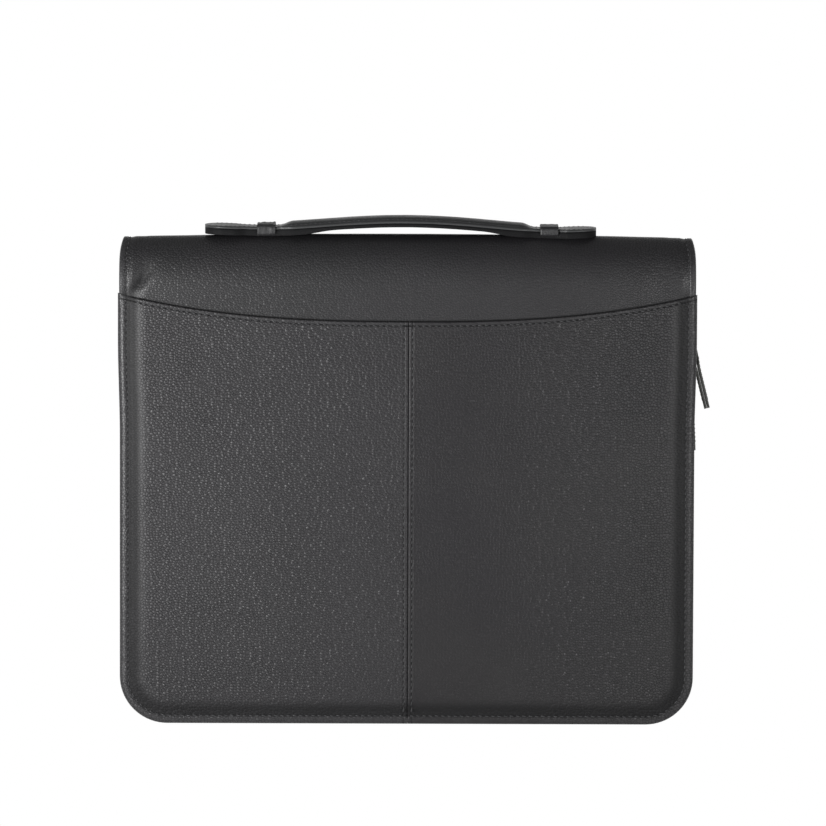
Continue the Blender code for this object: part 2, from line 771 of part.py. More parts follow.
def spine_top_at(x, y):
    """Height of the spine's outer face at a distance from its middle plane."""
    half_depth = HALF_DEPTH + PADDING
    rise = spine_rise(x) + PADDING
    return SPRING_HEIGHT + rise * math.sqrt(max(0.0, 1 - (y / half_depth) ** 2))


def make_keeper(name, hand):
    """A leather band over the strap, its two feet against the spine."""
    x_middle = hand * KEEPER_SPACING / 2
    widest = max(strap_half_width(x_middle + s * KEEPER_WIDTH / 2) for s in (-1, 0, 1))
    inside_y = widest + PIECE_GAP
    heights = [strap_bottom(x_middle + s * KEEPER_WIDTH / 2) for s in (-1, 0, 1)]
    inside_z = max(heights) + 2 * HANDLE_LAYER + 2 * PIECE_GAP
    corner = KEEPER_LEATHER
    inner, outer = [], []
    for side in (-1, 1):
        for offset, line in ((0.0, inner), (KEEPER_LEATHER, outer)):
            y = side * (inside_y + offset)
            floor = spine_top_at(x_middle, y) + PIECE_GAP
            arc = []
            for i in range(4):
                turn = math.pi / 2 * i / 3
                radius = 0.3 * corner + offset
                centre_y = inside_y - 0.3 * corner
                centre_z = inside_z - 0.3 * corner
                arc.append((side * (centre_y + radius * math.cos(turn)), centre_z + radius * math.sin(turn)))
            ordered = [(y, floor), *arc]
            line.extend(ordered if side == -1 else ordered[::-1])
    profile = outer + inner[::-1]
    sections = []
    # The band's long edges are rounded a little: x share of the width, leather left there.
    for share, left in ((-0.5, 0.55), (-0.44, 1.0), (0.44, 1.0), (0.5, 0.55)):
        count = len(outer)
        section = []
        for i, (y, z) in enumerate(profile):
            k = i if i < count else 2 * count - 1 - i
            inner_y, inner_z = inner[k]
            y = mix(inner_y, y, left)
            z = mix(inner_z, z, left)
            section.append(Vector((x_middle + share * KEEPER_WIDTH, y, z)))
        sections.append(section)
    loft(name, sections, EDGE_LEATHER, smooth_deg=50)


def place_case():
    """Parent every piece to an empty in the middle plane, behind the front cover's edge."""
    pieces = list(bpy.context.scene.collection.objects)
    middle = bpy.data.objects.new("case_middle", None)
    bpy.context.scene.collection.objects.link(middle)
    middle.location = (0, -EDGE_MIDDLE, 0)
    for piece in pieces:
        piece.parent = middle


def main():
    clear_scene()
    make_cover()
    make_pocket_panel("pocket_panel_left", -1)
    make_pocket_panel("pocket_panel_right", 1)
    make_zip()
    for name, height, lean_deg in (
        ("upper", UPPER_SLIDER_HEIGHT, UPPER_PULL_LEAN),
        ("lower", LOWER_SLIDER_HEIGHT, LOWER_PULL_LEAN),
    ):
        make_slider("zip_slider_" + name, height)
        bar, down, away = pull_frame(height, lean_deg)
        make_ring("zip_ring_" + name, bar, down, away)
        make_pull("zip_pull_" + name, bar, down, away)
    make_handle()
    make_keeper("keeper_left", -1)
    make_keeper("keeper_right", 1)
    place_case()


main()
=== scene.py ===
import math

import bmesh
import bpy
import numpy as np
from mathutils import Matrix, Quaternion, Vector, noise


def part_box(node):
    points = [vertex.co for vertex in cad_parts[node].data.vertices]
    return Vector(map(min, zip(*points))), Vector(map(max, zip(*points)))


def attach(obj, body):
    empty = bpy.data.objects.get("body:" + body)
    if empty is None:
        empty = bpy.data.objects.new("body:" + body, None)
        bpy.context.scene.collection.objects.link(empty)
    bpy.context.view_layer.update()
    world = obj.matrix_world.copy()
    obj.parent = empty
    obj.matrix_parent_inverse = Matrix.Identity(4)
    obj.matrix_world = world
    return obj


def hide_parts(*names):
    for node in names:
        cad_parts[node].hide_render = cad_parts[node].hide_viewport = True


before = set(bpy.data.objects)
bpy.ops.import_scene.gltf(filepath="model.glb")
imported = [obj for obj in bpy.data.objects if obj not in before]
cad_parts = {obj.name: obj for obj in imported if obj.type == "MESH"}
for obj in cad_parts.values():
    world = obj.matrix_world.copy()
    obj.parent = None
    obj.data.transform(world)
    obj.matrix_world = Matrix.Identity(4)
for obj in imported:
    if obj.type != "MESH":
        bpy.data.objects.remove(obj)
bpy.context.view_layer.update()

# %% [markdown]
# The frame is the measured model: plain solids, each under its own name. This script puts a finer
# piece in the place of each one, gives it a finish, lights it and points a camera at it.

MM = 0.001
chain_low, chain_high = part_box("zip_chain")
MIDDLE = (chain_low.y + chain_high.y) / 2      # the plane half way between the two covers

# %% [markdown]
# The case stands on a plain white floor in a plain white room, photographed from far away with a
# long lens, so that its sides look parallel. The camera is a little above the case and looks down
# at it by six and a half degrees.

# %% Camera
scene = bpy.context.scene
scene.view_settings.view_transform = "Standard"

CAMERA_DISTANCE = 6.0
CAMERA_RISE = math.radians(6.5)
CAMERA_ROLL = math.radians(-0.2)
PICTURE_WIDTH = 0.5153          # metres across the picture, in the plane of the case
AIM_X = 0.0036
AIM_Z = 0.1934

aim = Vector((AIM_X, MIDDLE, AIM_Z))
back = Vector((0, -math.cos(CAMERA_RISE), math.sin(CAMERA_RISE)))
camera = bpy.data.objects.new("camera", bpy.data.cameras.new("camera"))
scene.collection.objects.link(camera)
camera.data.sensor_width = 36
camera.data.lens = 36 * CAMERA_DISTANCE / PICTURE_WIDTH
camera.data.clip_start = 0.1
camera.data.clip_end = 100
camera.location = aim + back * CAMERA_DISTANCE
camera.rotation_mode = "QUATERNION"
camera.rotation_quaternion = Quaternion(-back, CAMERA_ROLL) @ (-back).to_track_quat("-Z", "Y")
scene.camera = camera
print("lens", round(camera.data.lens, 1), "mm, from", [round(v, 3) for v in camera.location])

# %% [markdown]
# Nodes are quicker to lay out with two small helpers: one adds a node and fills in its sockets,
# the other joins two sockets. A material is then a short list of lines.

# %% Helpers for nodes


def add_node(tree, kind, *plugs, **settings):
    """A node with its settings. plugs are (socket, value or output) pairs."""
    node = tree.nodes.new(kind)
    for name, value in settings.items():
        setattr(node, name, value)
    for socket, value in plugs:
        if isinstance(value, bpy.types.NodeSocket):
            tree.links.new(value, node.inputs[socket])
        else:
            node.inputs[socket].default_value = value
    return node


def maths(tree, operation, *values, clamp=False):
    """One sum on numbers or sockets, such as MULTIPLY or SUBTRACT."""
    node = add_node(tree, "ShaderNodeMath", *enumerate(values), operation=operation, use_clamp=clamp)
    return node.outputs[0]


def ramp(tree, value, low, high, to_low=0.0, to_high=1.0, smooth=True):
    """A value moved from one range to another, with soft ends."""
    kind = "SMOOTHSTEP" if smooth else "LINEAR"
    plugs = ((0, value), (1, low), (2, high), (3, to_low), (4, to_high))
    return add_node(tree, "ShaderNodeMapRange", *plugs, interpolation_type=kind).outputs[0]


def blend_colour(tree, share, one, other):
    plugs = ((0, share), (6, one), (7, other))
    return add_node(tree, "ShaderNodeMix", *plugs, data_type="RGBA").outputs[2]


def new_group(name, inputs, outputs):
    """A node group with named inputs and outputs. Each is (name, kind, value)."""
    group = bpy.data.node_groups.new(name, "ShaderNodeTree")
    for title, kind, value in inputs:
        socket = group.interface.new_socket(title, in_out="INPUT", socket_type="NodeSocket" + kind)
        socket.default_value = value
    for title, kind in outputs:
        group.interface.new_socket(title, in_out="OUTPUT", socket_type="NodeSocket" + kind)
    print("group", name)
    return group, group.nodes.new("NodeGroupInput").outputs, group.nodes.new("NodeGroupOutput").inputs


def use_group(tree, group, *plugs):
    """One of the shared groups, placed in a material."""
    return add_node(tree, "ShaderNodeGroup", *plugs, node_tree=group).outputs


def object_place(tree):
    """Where a point lies on the object, in metres."""
    return add_node(tree, "ShaderNodeTexCoord").outputs["Object"]


def kept_value(tree, name):
    """A number that a piece keeps at each of its points."""
    return add_node(tree, "ShaderNodeAttribute", attribute_name=name).outputs["Fac"]


def noise_of(tree, place, scale, detail, **settings):
    plugs = (("Vector", place), ("Scale", scale), ("Detail", detail))
    return add_node(tree, "ShaderNodeTexNoise", *plugs, **settings).outputs


def feed(tree, shader, **sockets):
    """Joins outputs to the shader's sockets, such as Base_Color or Roughness."""
    for name, value in sockets.items():
        tree.links.new(value, shader.inputs[name.replace("_", " ")])


def raise_grain(tree, shader, height, distance, strength=1.0):
    """Turns a height into a bump on the shader's normal."""
    plugs = (("Strength", strength), ("Distance", distance), ("Height", height))
    feed(tree, shader, Normal=add_node(tree, "ShaderNodeBump", *plugs).outputs[0])


def new_material(name):
    """A material with only its shader. Returns (material, tree, shader)."""
    made = bpy.data.materials.new(name)
    made.use_nodes = True
    return made, made.node_tree, made.node_tree.nodes["Principled BSDF"]


# %% [markdown]
# The room and the floor are plain white where the camera sees them. What lights the case is a dimmer
# room: faint at the front and the sides, bright behind, and weaker above. Two tall soft lamps stand
# in front. The one on the left brings out the grain, and a weaker one on the right opens the shadows.
# A darker room would make the black leather look like a hole, and a brighter one would wash it out.

# %% Floor, room and lamps
floor_mesh = bpy.data.meshes.new("floor")
FLOOR = 30.0
floor_mesh.from_pydata([(-FLOOR, -FLOOR, 0), (FLOOR, -FLOOR, 0), (FLOOR, FLOOR, 0), (-FLOOR, FLOOR, 0)],
                       [], [(0, 1, 2, 3)])
floor = bpy.data.objects.new("floor", floor_mesh)
scene.collection.objects.link(floor)
floor_finish, tree, shader = new_material("white_floor")
shader.inputs["Base Color"].default_value = (0.8, 0.8, 0.8, 1)
shader.inputs["Roughness"].default_value = 0.9
shader.inputs["Emission Color"].default_value = (1, 1, 1, 1)
shader.inputs["Emission Strength"].default_value = 0.25
light_path = add_node(tree, "ShaderNodeLightPath")
glow = add_node(tree, "ShaderNodeEmission", ("Color", (1, 1, 1, 1)), ("Strength", 1.0))
seen = add_node(tree, "ShaderNodeMixShader", (0, light_path.outputs["Is Camera Ray"]),
                (1, shader.outputs[0]), (2, glow.outputs[0]))
tree.links.new(seen.outputs[0], tree.nodes["Material Output"].inputs["Surface"])
floor_mesh.materials.append(floor_finish)

world = bpy.data.worlds.new("room")
scene.world = world
world.use_nodes = True
tree = world.node_tree
tree.nodes.clear()
ROOM_FRONT = 0.20
ROOM_SIDE = 0.10
ROOM_BACK = 0.95
TOP_SHARE = 0.25                # how much of it is left straight above
# A direction has Y = -1 in front of the case, Y = 1 behind it and Z = 1 above it.
where = add_node(tree, "ShaderNodeTexCoord")
split = add_node(tree, "ShaderNodeSeparateXYZ", (0, where.outputs["Generated"]))
front = ramp(tree, split.outputs["Y"], -0.97, -0.82, ROOM_FRONT - ROOM_SIDE, 0.0)
rear = ramp(tree, split.outputs["Y"], -0.55, -0.05, 0.0, ROOM_BACK - ROOM_SIDE)
round_about = maths(tree, "ADD", maths(tree, "ADD", front, rear), ROOM_SIDE)
above = ramp(tree, split.outputs["Z"], 0.20, 0.70, 1.0, TOP_SHARE)
level = maths(tree, "MULTIPLY", round_about, above)
room_light = add_node(tree, "ShaderNodeBackground", ("Color", (1, 1, 1, 1)), ("Strength", level))
white = add_node(tree, "ShaderNodeBackground", ("Color", (1, 1, 1, 1)), ("Strength", 1.0))
light_path = add_node(tree, "ShaderNodeLightPath")
room = add_node(tree, "ShaderNodeMixShader", (0, light_path.outputs["Is Camera Ray"]),
                (1, room_light.outputs[0]), (2, white.outputs[0]))
add_node(tree, "ShaderNodeOutputWorld", (0, room.outputs[0]))


def add_lamp(name, spot, width, height, power):
    """A tall soft lamp that points at the middle of the case."""
    lamp = bpy.data.lights.new(name, "AREA")
    lamp.shape = "RECTANGLE"
    lamp.size = width
    lamp.size_y = height
    lamp.energy = power
    made = bpy.data.objects.new(name, lamp)
    scene.collection.objects.link(made)
    made.location = spot
    towards = Vector((0, MIDDLE, spot[2])) - Vector(spot)
    made.rotation_euler = towards.to_track_quat("-Z", "Y").to_euler()
    made.visible_camera = False
    print(name, power, "W at", spot)


add_lamp("key_lamp", (-0.50, -0.62, 0.23), 0.16, 0.34, 5.8)
add_lamp("fill_lamp", (0.46, -0.58, 0.23), 0.14, 0.28, 1.6)

# %% [markdown]
# The leather is pulled over one long form: up the back, over the spine, down the front. A place on
# it needs two numbers, x across and "along": 0 to 1 up the back, 1 to 2 over the spine, 2 to 3
# down the front. Most sizes are the ones that the measured solids were made with. A few, such as the
# corners' radius and how far the spine's ends are drawn in, follow the photograph a little closer.

# %% The form under the leather
CASE_WIDTH = 0.3576
CASE_HEIGHT = 0.3058
HALF_DEPTH = 0.0175
CORNER_RADIUS = 0.0288
PIECE_GAP = 0.0003
COVER_WALL = 0.0032
PADDING = 0.0022
RIM_WIDTH = 0.0050
SLOPE_WIDTH = 0.0130
PAD_INSET = RIM_WIDTH + SLOPE_WIDTH
COVER_BULGE = 0.0010
SPINE_RISE = 0.0300
SPINE_DROOP = 0.0022
SPINE_PULL_IN = 0.0020
PULL_IN_POWER = 6               # how close to the top the ends are drawn in
EDGE_FLARE = 0.0012             # the covers widen towards the pocket's mouth
FLARE_START = 0.59              # share of the height where that begins
FLARE_SPAN = 0.20               # share of the height that it takes
EDGE_WRAP = 0.0008
SPRING_HEIGHT = CASE_HEIGHT - PADDING - SPINE_RISE
MOUTH_HEIGHT = 0.2529
MOUTH_DROP = 0.0165
MOUTH_POWER = 2.6


def smoothstep(share):
    share = np.clip(share, 0.0, 1.0)
    return share * share * (3 - 2 * share)


def half_width(z):
    """Half the width of a cover at a height."""
    return CASE_WIDTH / 2 - EDGE_WRAP + EDGE_FLARE * smoothstep((z / CASE_HEIGHT - FLARE_START) / FLARE_SPAN)


def place(station, inset):
    """(x, along) of a station on the cover's outline, moved in by an inset."""
    side, kind, value = station
    if kind == "spine":
        drawn_in = SPINE_PULL_IN * math.sin(value) ** PULL_IN_POWER
        return half_width(CASE_HEIGHT) - drawn_in - inset, 1 + value / math.pi
    x, z = half_width(value) - inset, value
    if kind == "corner":
        reach = CORNER_RADIUS - inset
        floor_gap = EDGE_WRAP if side == "back" else 0.0
        x = half_width(0.0) - CORNER_RADIUS + reach * math.sin(value)
        z = floor_gap + CORNER_RADIUS - reach * math.cos(value)
    return x, z / SPRING_HEIGHT if side == "back" else 3 - z / SPRING_HEIGHT


def spine_rise(x):
    """How high the spine arches. It hangs a little lower at its ends."""
    return SPINE_RISE - SPINE_DROOP * (2 * np.abs(x) / CASE_WIDTH) ** 2


def wrap_height(x, along):
    """Height above the floor of the base surface."""
    z = SPRING_HEIGHT + spine_rise(x) * np.sin(np.clip(along - 1, 0, 1) * np.pi)
    return z + SPRING_HEIGHT * (np.minimum(along - 1, 0) + np.minimum(2 - along, 0))


def wrap_point(x, along, lift):
    """Points at a height above the base surface, which goes through both rims."""
    angle = np.clip(along - 1, 0, 1) * np.pi
    out_y = -np.cos(angle) / HALF_DEPTH
    out_z = np.sin(angle) / spine_rise(x)
    size = np.hypot(out_y, out_z)
    y = MIDDLE - HALF_DEPTH * np.cos(angle) + lift * out_y / size
    return np.stack([x, y, wrap_height(x, along) + lift * out_z / size], axis=-1)


print("the covers bend into the spine from", round(SPRING_HEIGHT, 4))

# %% [markdown]
# Soft leather is never flat. On top of the crown of each panel come a fold at the upper left, a soft
# dent at the upper right, a shallow hollow above the pocket, and slow waves of a few tenths of a
# millimetre, some long and some short. Cloth simulation would let the leather sag off its board, so
# they are plain moves of the points, which is how a sculpting brush works.

# %% Crown, creases and waves
SPINE_END_RISE = 1.7 * MM
ROLL_FROM = 0.262               # height at which the leather starts to roll over the spine
ROLL_OVER = 0.018               # height over which it does
CREASES = (
    # across and up in metres, slant in degrees, then length, width and depth in metres
    (-0.1674, 0.2766, 47, 0.0140, 0.0034, 0.00300),
    (0.1600, 0.2760, -60, 0.0150, 0.0080, 0.00090),
    (0.0, 0.2829, 0, 0.1109, 0.0100, 0.00040),
)
WAVES = (
    # length of the wave, height, both in metres, and a shift that makes each one different
    (0.110, 0.00045, 3.1),
    (0.045, 0.00022, 17.7),
    (0.018, 0.00007, 41.3),
)


def soft_waves(points):
    """Slow, random ups and downs at each point, from smooth noise."""
    height = np.zeros(len(points))
    for length, tall, shift in WAVES:
        for i, p in enumerate(points):
            spot = Vector((p[0] / length + shift, p[1] / length - shift, p[2] / length))
            height[i] += tall * noise.noise(spot)
    return height


def mouth_rise(x):
    return MOUTH_DROP * (2 * np.abs(x) / CASE_WIDTH) ** MOUTH_POWER


def rolled_share(x, along):
    """0 on the flat covers, 1 where the leather rolls over the spine and its rim has no valley."""
    return smoothstep((wrap_height(x, along) - ROLL_FROM) / ROLL_OVER)


def end_rise(height, x, along):
    """The bead and the groove beside it stand up with the padding over the spine."""
    return rolled_share(x, along) * np.clip(0.92 * PADDING - height, 0, SPINE_END_RISE)


def crease_shares(x, along):
    """How near each point is to the middle of each crease, from 0 to 1."""
    z = wrap_height(x, along)
    on_back = 1 - smoothstep((along - 1.4) / 0.2)
    shares = []
    for across, high, slant, length, width, _ in CREASES:
        turned = math.radians(slant)
        dx, dz = x - across, z - high
        run = dx * math.cos(turned) + dz * math.sin(turned)
        over = dz * math.cos(turned) - dx * math.sin(turned)
        shares.append(on_back * np.exp(-(run / length) ** 2 - (over / width) ** 2))
    return shares


def relief(x, along):
    """How far the padded leather stands above or below its even height."""
    up = np.where(along < 1, along, np.clip(3 - along, 0, 1))
    height = COVER_BULGE * (1 - (2 * x / CASE_WIDTH) ** 2) * 4 * up * (1 - up)
    for share, (*_, depth) in zip(crease_shares(x, along), CREASES):
        height -= depth * share
    return height


# %% [markdown]
# The rim in section: a rounded bead at the edge, a stitched groove behind it, and a slope up to
# the padding. A smooth curve is drawn through a few points of that section.

# %% The rim's section
SECTION = (
    # millimetres in from the edge, and up from the base surface
    (18.0, 2.20), (15.6, 2.12), (13.2, 1.82), (11.2, 1.30), (9.2, 0.66), (7.4, 0.16), (5.8, -0.08),
    (4.4, -0.30), (3.6, 0.14), (2.3, 0.62), (0.95, 0.34), (0.0, -0.90), (0.0, -2.59),
)


def smooth_line(points, steps):
    """A curve through the points, with some steps between each two of them."""
    points = np.array(points, float)
    padded = np.vstack([2 * points[0] - points[1], points, 2 * points[-1] - points[-2]])
    line = []
    for i in range(1, len(padded) - 2):
        p0, p1, p2, p3 = padded[i - 1:i + 3]
        for t in np.arange(steps) / steps:
            line.append(0.5 * (2 * p1 + (p2 - p0) * t + (2 * p0 - 5 * p1 + 4 * p2 - p3) * t ** 2
                               + (3 * p1 - p0 - 3 * p2 + p3) * t ** 3))
    line.append(padded[-2])
    return np.array(line)


rim = smooth_line(SECTION, 3) * MM
rim[:, 0] = np.maximum(rim[:, 0], 0.0)


def offset_line(line, distances):
    """The section moved away from the cover, by a distance at each of its points."""
    ahead = np.vstack([line[1:], line[-1:]])
    behind = np.vstack([line[:1], line[:-1]])
    step = ahead - behind
    normal = np.stack([step[:, 1], -step[:, 0]], axis=1)
    normal[0] = (0, 1)
    normal[line[:, 0] <= 1e-6] = (-1, 0)
    normal /= np.linalg.norm(normal, axis=1)[:, None]
    return line + normal * np.asarray(distances)[:, None]


def rim_height(inset):
    """Height of the rim's outer face at an inset."""
    order = np.argsort(rim[:, 0])
    return np.interp(inset, rim[order, 0], rim[order, 1])


print("rim section with", len(rim), "points")

# %% [markdown]
# One helper turns points and faces into an object that rides on the case and stands for its
# measured solid.

# %% Helper for pieces


def add_piece(name, points, faces, stands_for=(), smooth_deg=60):
    mesh = bpy.data.meshes.new(name)
    mesh.from_pydata(np.asarray(points, float).tolist(), [], faces)
    mesh.update()
    mesh.shade_smooth()
    mesh.set_sharp_from_angle(angle=math.radians(smooth_deg))
    made = bpy.data.objects.new(name, mesh)
    scene.collection.objects.link(made)
    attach(made, "root")
    if stands_for:
        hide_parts(*stands_for)
    print(name, len(mesh.vertices), "points", len(mesh.polygons), "faces")
    return made


def turned_out(made):
    """Turns all faces of a closed piece outwards."""
    work = bmesh.new()
    work.from_mesh(made.data)
    bmesh.ops.recalc_face_normals(work, faces=work.faces)
    work.to_mesh(made.data)
    work.free()
    return made


def joined_rings(rings, sides, first=0):
    """Faces between rings of points that follow each other, and a cap at both ends."""
    faces = []
    for i in range(rings - 1):
        for j in range(sides):
            a, b = first + i * sides + j, first + i * sides + (j + 1) % sides
            faces.append((a, b, b + sides, a + sides))
    last = first + (rings - 1) * sides
    return faces + [tuple(range(first, first + sides))[::-1], tuple(range(last, last + sides))]


SPINE_LENGTH = 0.080            # of leather, over the round of the spine


def keep_hide_place(made, x, along):
    """Where each point lies on the flat hide, in metres, for grain that isn't stretched."""
    run = SPRING_HEIGHT * (np.minimum(along, 1) + np.maximum(along - 2, 0))
    run = run + SPINE_LENGTH * np.clip(along - 1, 0, 1)
    layer = made.data.attributes.new("hide_place", "FLOAT_VECTOR", "POINT")
    layer.data.foreach_set("vector", np.stack([x, run, 0 * x], axis=1).astype(np.float32).ravel())


def keep_values(made, **values):
    """Numbers kept at each point of a piece, for its finish to read."""
    for name, numbers in values.items():
        layer = made.data.attributes.new(name, "FLOAT", "POINT")
        layer.data.foreach_set("value", np.asarray(numbers, np.float32))


# %% [markdown]
# The cover is one leather wall. Rings of points follow its outline, from the full padding out
# round the edge and a little way in; rows of points fill the middle, outside and inside.

# %% The cover
GRID = 0.0025
ARC_STEPS = 18
SPINE_STEPS = 24


def corner_stations(side):
    """Places round a lower corner, from the bottom to the side."""
    return [(side, "corner", math.pi / 2 * i / ARC_STEPS) for i in range(ARC_STEPS + 1)]


def outline_stations(side, top, step):
    corner = corner_stations(side)
    low = CORNER_RADIUS + (EDGE_WRAP if side == "back" else 0.0)
    count = round((top - low) / step)
    return corner + [(side, "edge", low + (top - low) * (i + 1) / count) for i in range(count)]


def make_cover():
    stations = outline_stations("back", SPRING_HEIGHT, GRID)[:-1]
    stations += [("back", "spine", math.pi * i / SPINE_STEPS) for i in range(SPINE_STEPS + 1)]
    stations += outline_stations("front", SPRING_HEIGHT, GRID)[:-1][::-1]
    count = round((CASE_WIDTH - 2 * PAD_INSET) / GRID)
    columns = np.linspace(-1, 1, count)[1:-1]
    levels = [(inset, height, 1.0) for inset, height in rim]
    levels += [(0.10 * RIM_WIDTH, -COVER_WALL, 0.0), (PAD_INSET, -COVER_WALL, 0.0)]
    rows, faces = [], []

    def add(x, along, inset, height, outside):
        rows.append((x, along, inset, height, outside))
        return len(rows) - 1

    def ring(level):
        inset, height, outside = level
        right, left = [], []
        for station in stations:
            x, along = place(station, inset)
            right.append(add(x, along, inset, height, outside))
            left.append(add(-x, along, inset, height, outside))
        ends = []
        for station in (stations[0], stations[-1]):
            x, along = place(station, inset)
            ends.append([add(c * x, along, inset, height, outside) for c in columns])
        return right + ends[1][::-1] + left[::-1] + ends[0], right, left, ends

    def fill_middle(level_ring, height, outside, across):
        _, right, left, (first, last) = level_ring
        grid = [[left[0], *first, right[0]]]
        for i in range(1, len(stations) - 1):
            x, along = place(stations[i], PAD_INSET)
            between = [add(c * x, along, PAD_INSET, height, outside) for c in across]
            grid.append([left[i], *between, right[i]])
        grid.append([left[-1], *last, right[-1]])
        for low, high in zip(grid, grid[1:]):
            if len(low) != len(high):
                faces.append((*low, *high[::-1]))
                continue
            for j in range(len(low) - 1):
                faces.append((low[j], low[j + 1], high[j + 1], high[j]))

    rings = [ring(level) for level in levels]
    for one, other in zip(rings, rings[1:]):
        count = len(one[0])
        for i in range(count):
            j = (i + 1) % count
            faces.append((one[0][i], one[0][j], other[0][j], other[0][i]))
    fill_middle(rings[0], levels[0][1], 1.0, columns)
    fill_middle(rings[-1], levels[-1][1], 0.0, (-0.5, 0.0, 0.5))
    x, along, inset, height, outside = np.array(rows).T
    share = np.clip(height / PADDING, 0, 1) * outside
    flat = wrap_point(x, along, height)
    lift = height + share * (relief(x, along) + soft_waves(flat)) + end_rise(height, x, along)
    made = add_piece("cover_leather", wrap_point(x, along, lift), faces, ["cover"])
    down = MOUTH_HEIGHT + mouth_rise(x) - wrap_height(x, along) - (along > 1.5)
    keep_values(made, inset=inset, down=down)
    keep_values(made, crease=crease_shares(x, along)[0], rolled=rolled_share(x, along))
    keep_hide_place(made, x, along)
    return turned_out(made)


cover = make_cover()

# %% [markdown]
# The pocket is the same leather laid over the back cover in two panels. Its mouth is turned in
# and stitched, which leaves a raised hem, and the panels meet at a stitched seam. The points are
# closest together where the hem and the seam bend.

# %% The pocket's two panels
POCKET_GRID = 0.0019
POCKET_SKIN = 0.0013
WRAP_SKIN = 0.0005              # the same leather, pared thin where it turns round the rim
PANEL_REACH = 0.155             # from the seam's fine rows to the rim, about
BEND_FROM = 0.55                # share of the mouth's height where rows start to bend with its curve
BEND_OVER = 0.38                # share over which they do
MOUTH_GROOVE = 0.16 * MM        # how deep the stitches are drawn in below the mouth
SEAM_GROOVE = 0.24 * MM         # and beside the seam
HEM = (
    # millimetres from the turned edge, and height in millimetres
    (0.0, -0.48), (0.35, 0.10), (0.72, 0.32), (1.9, 0.40), (2.35, 0.10), (2.7, -0.16),
    (3.05, 0.06), (3.6, 0.12), (4.6, 0.05), (6.0, 0.0),
)
SEAM = (
    (0.0, -0.64), (0.35, -0.20), (0.72, 0.04), (1.6, 0.16), (2.15, 0.02), (2.52, -0.24),
    (2.9, -0.04), (3.5, 0.06), (4.6, 0.03), (6.0, 0.0),
)


def read_table(table, at):
    table = np.array(table) * MM
    return np.interp(at, table[:, 0], table[:, 1])


SEAM_SHIFT = 0.7 * MM           # the seam is sewn a little right of the middle


def beside_seam(x):
    """The panels are drawn about the middle, then moved over with their seam."""
    return x + SEAM_SHIFT * np.clip(1 - np.abs(x) / (0.4 * CASE_WIDTH), 0, 1)


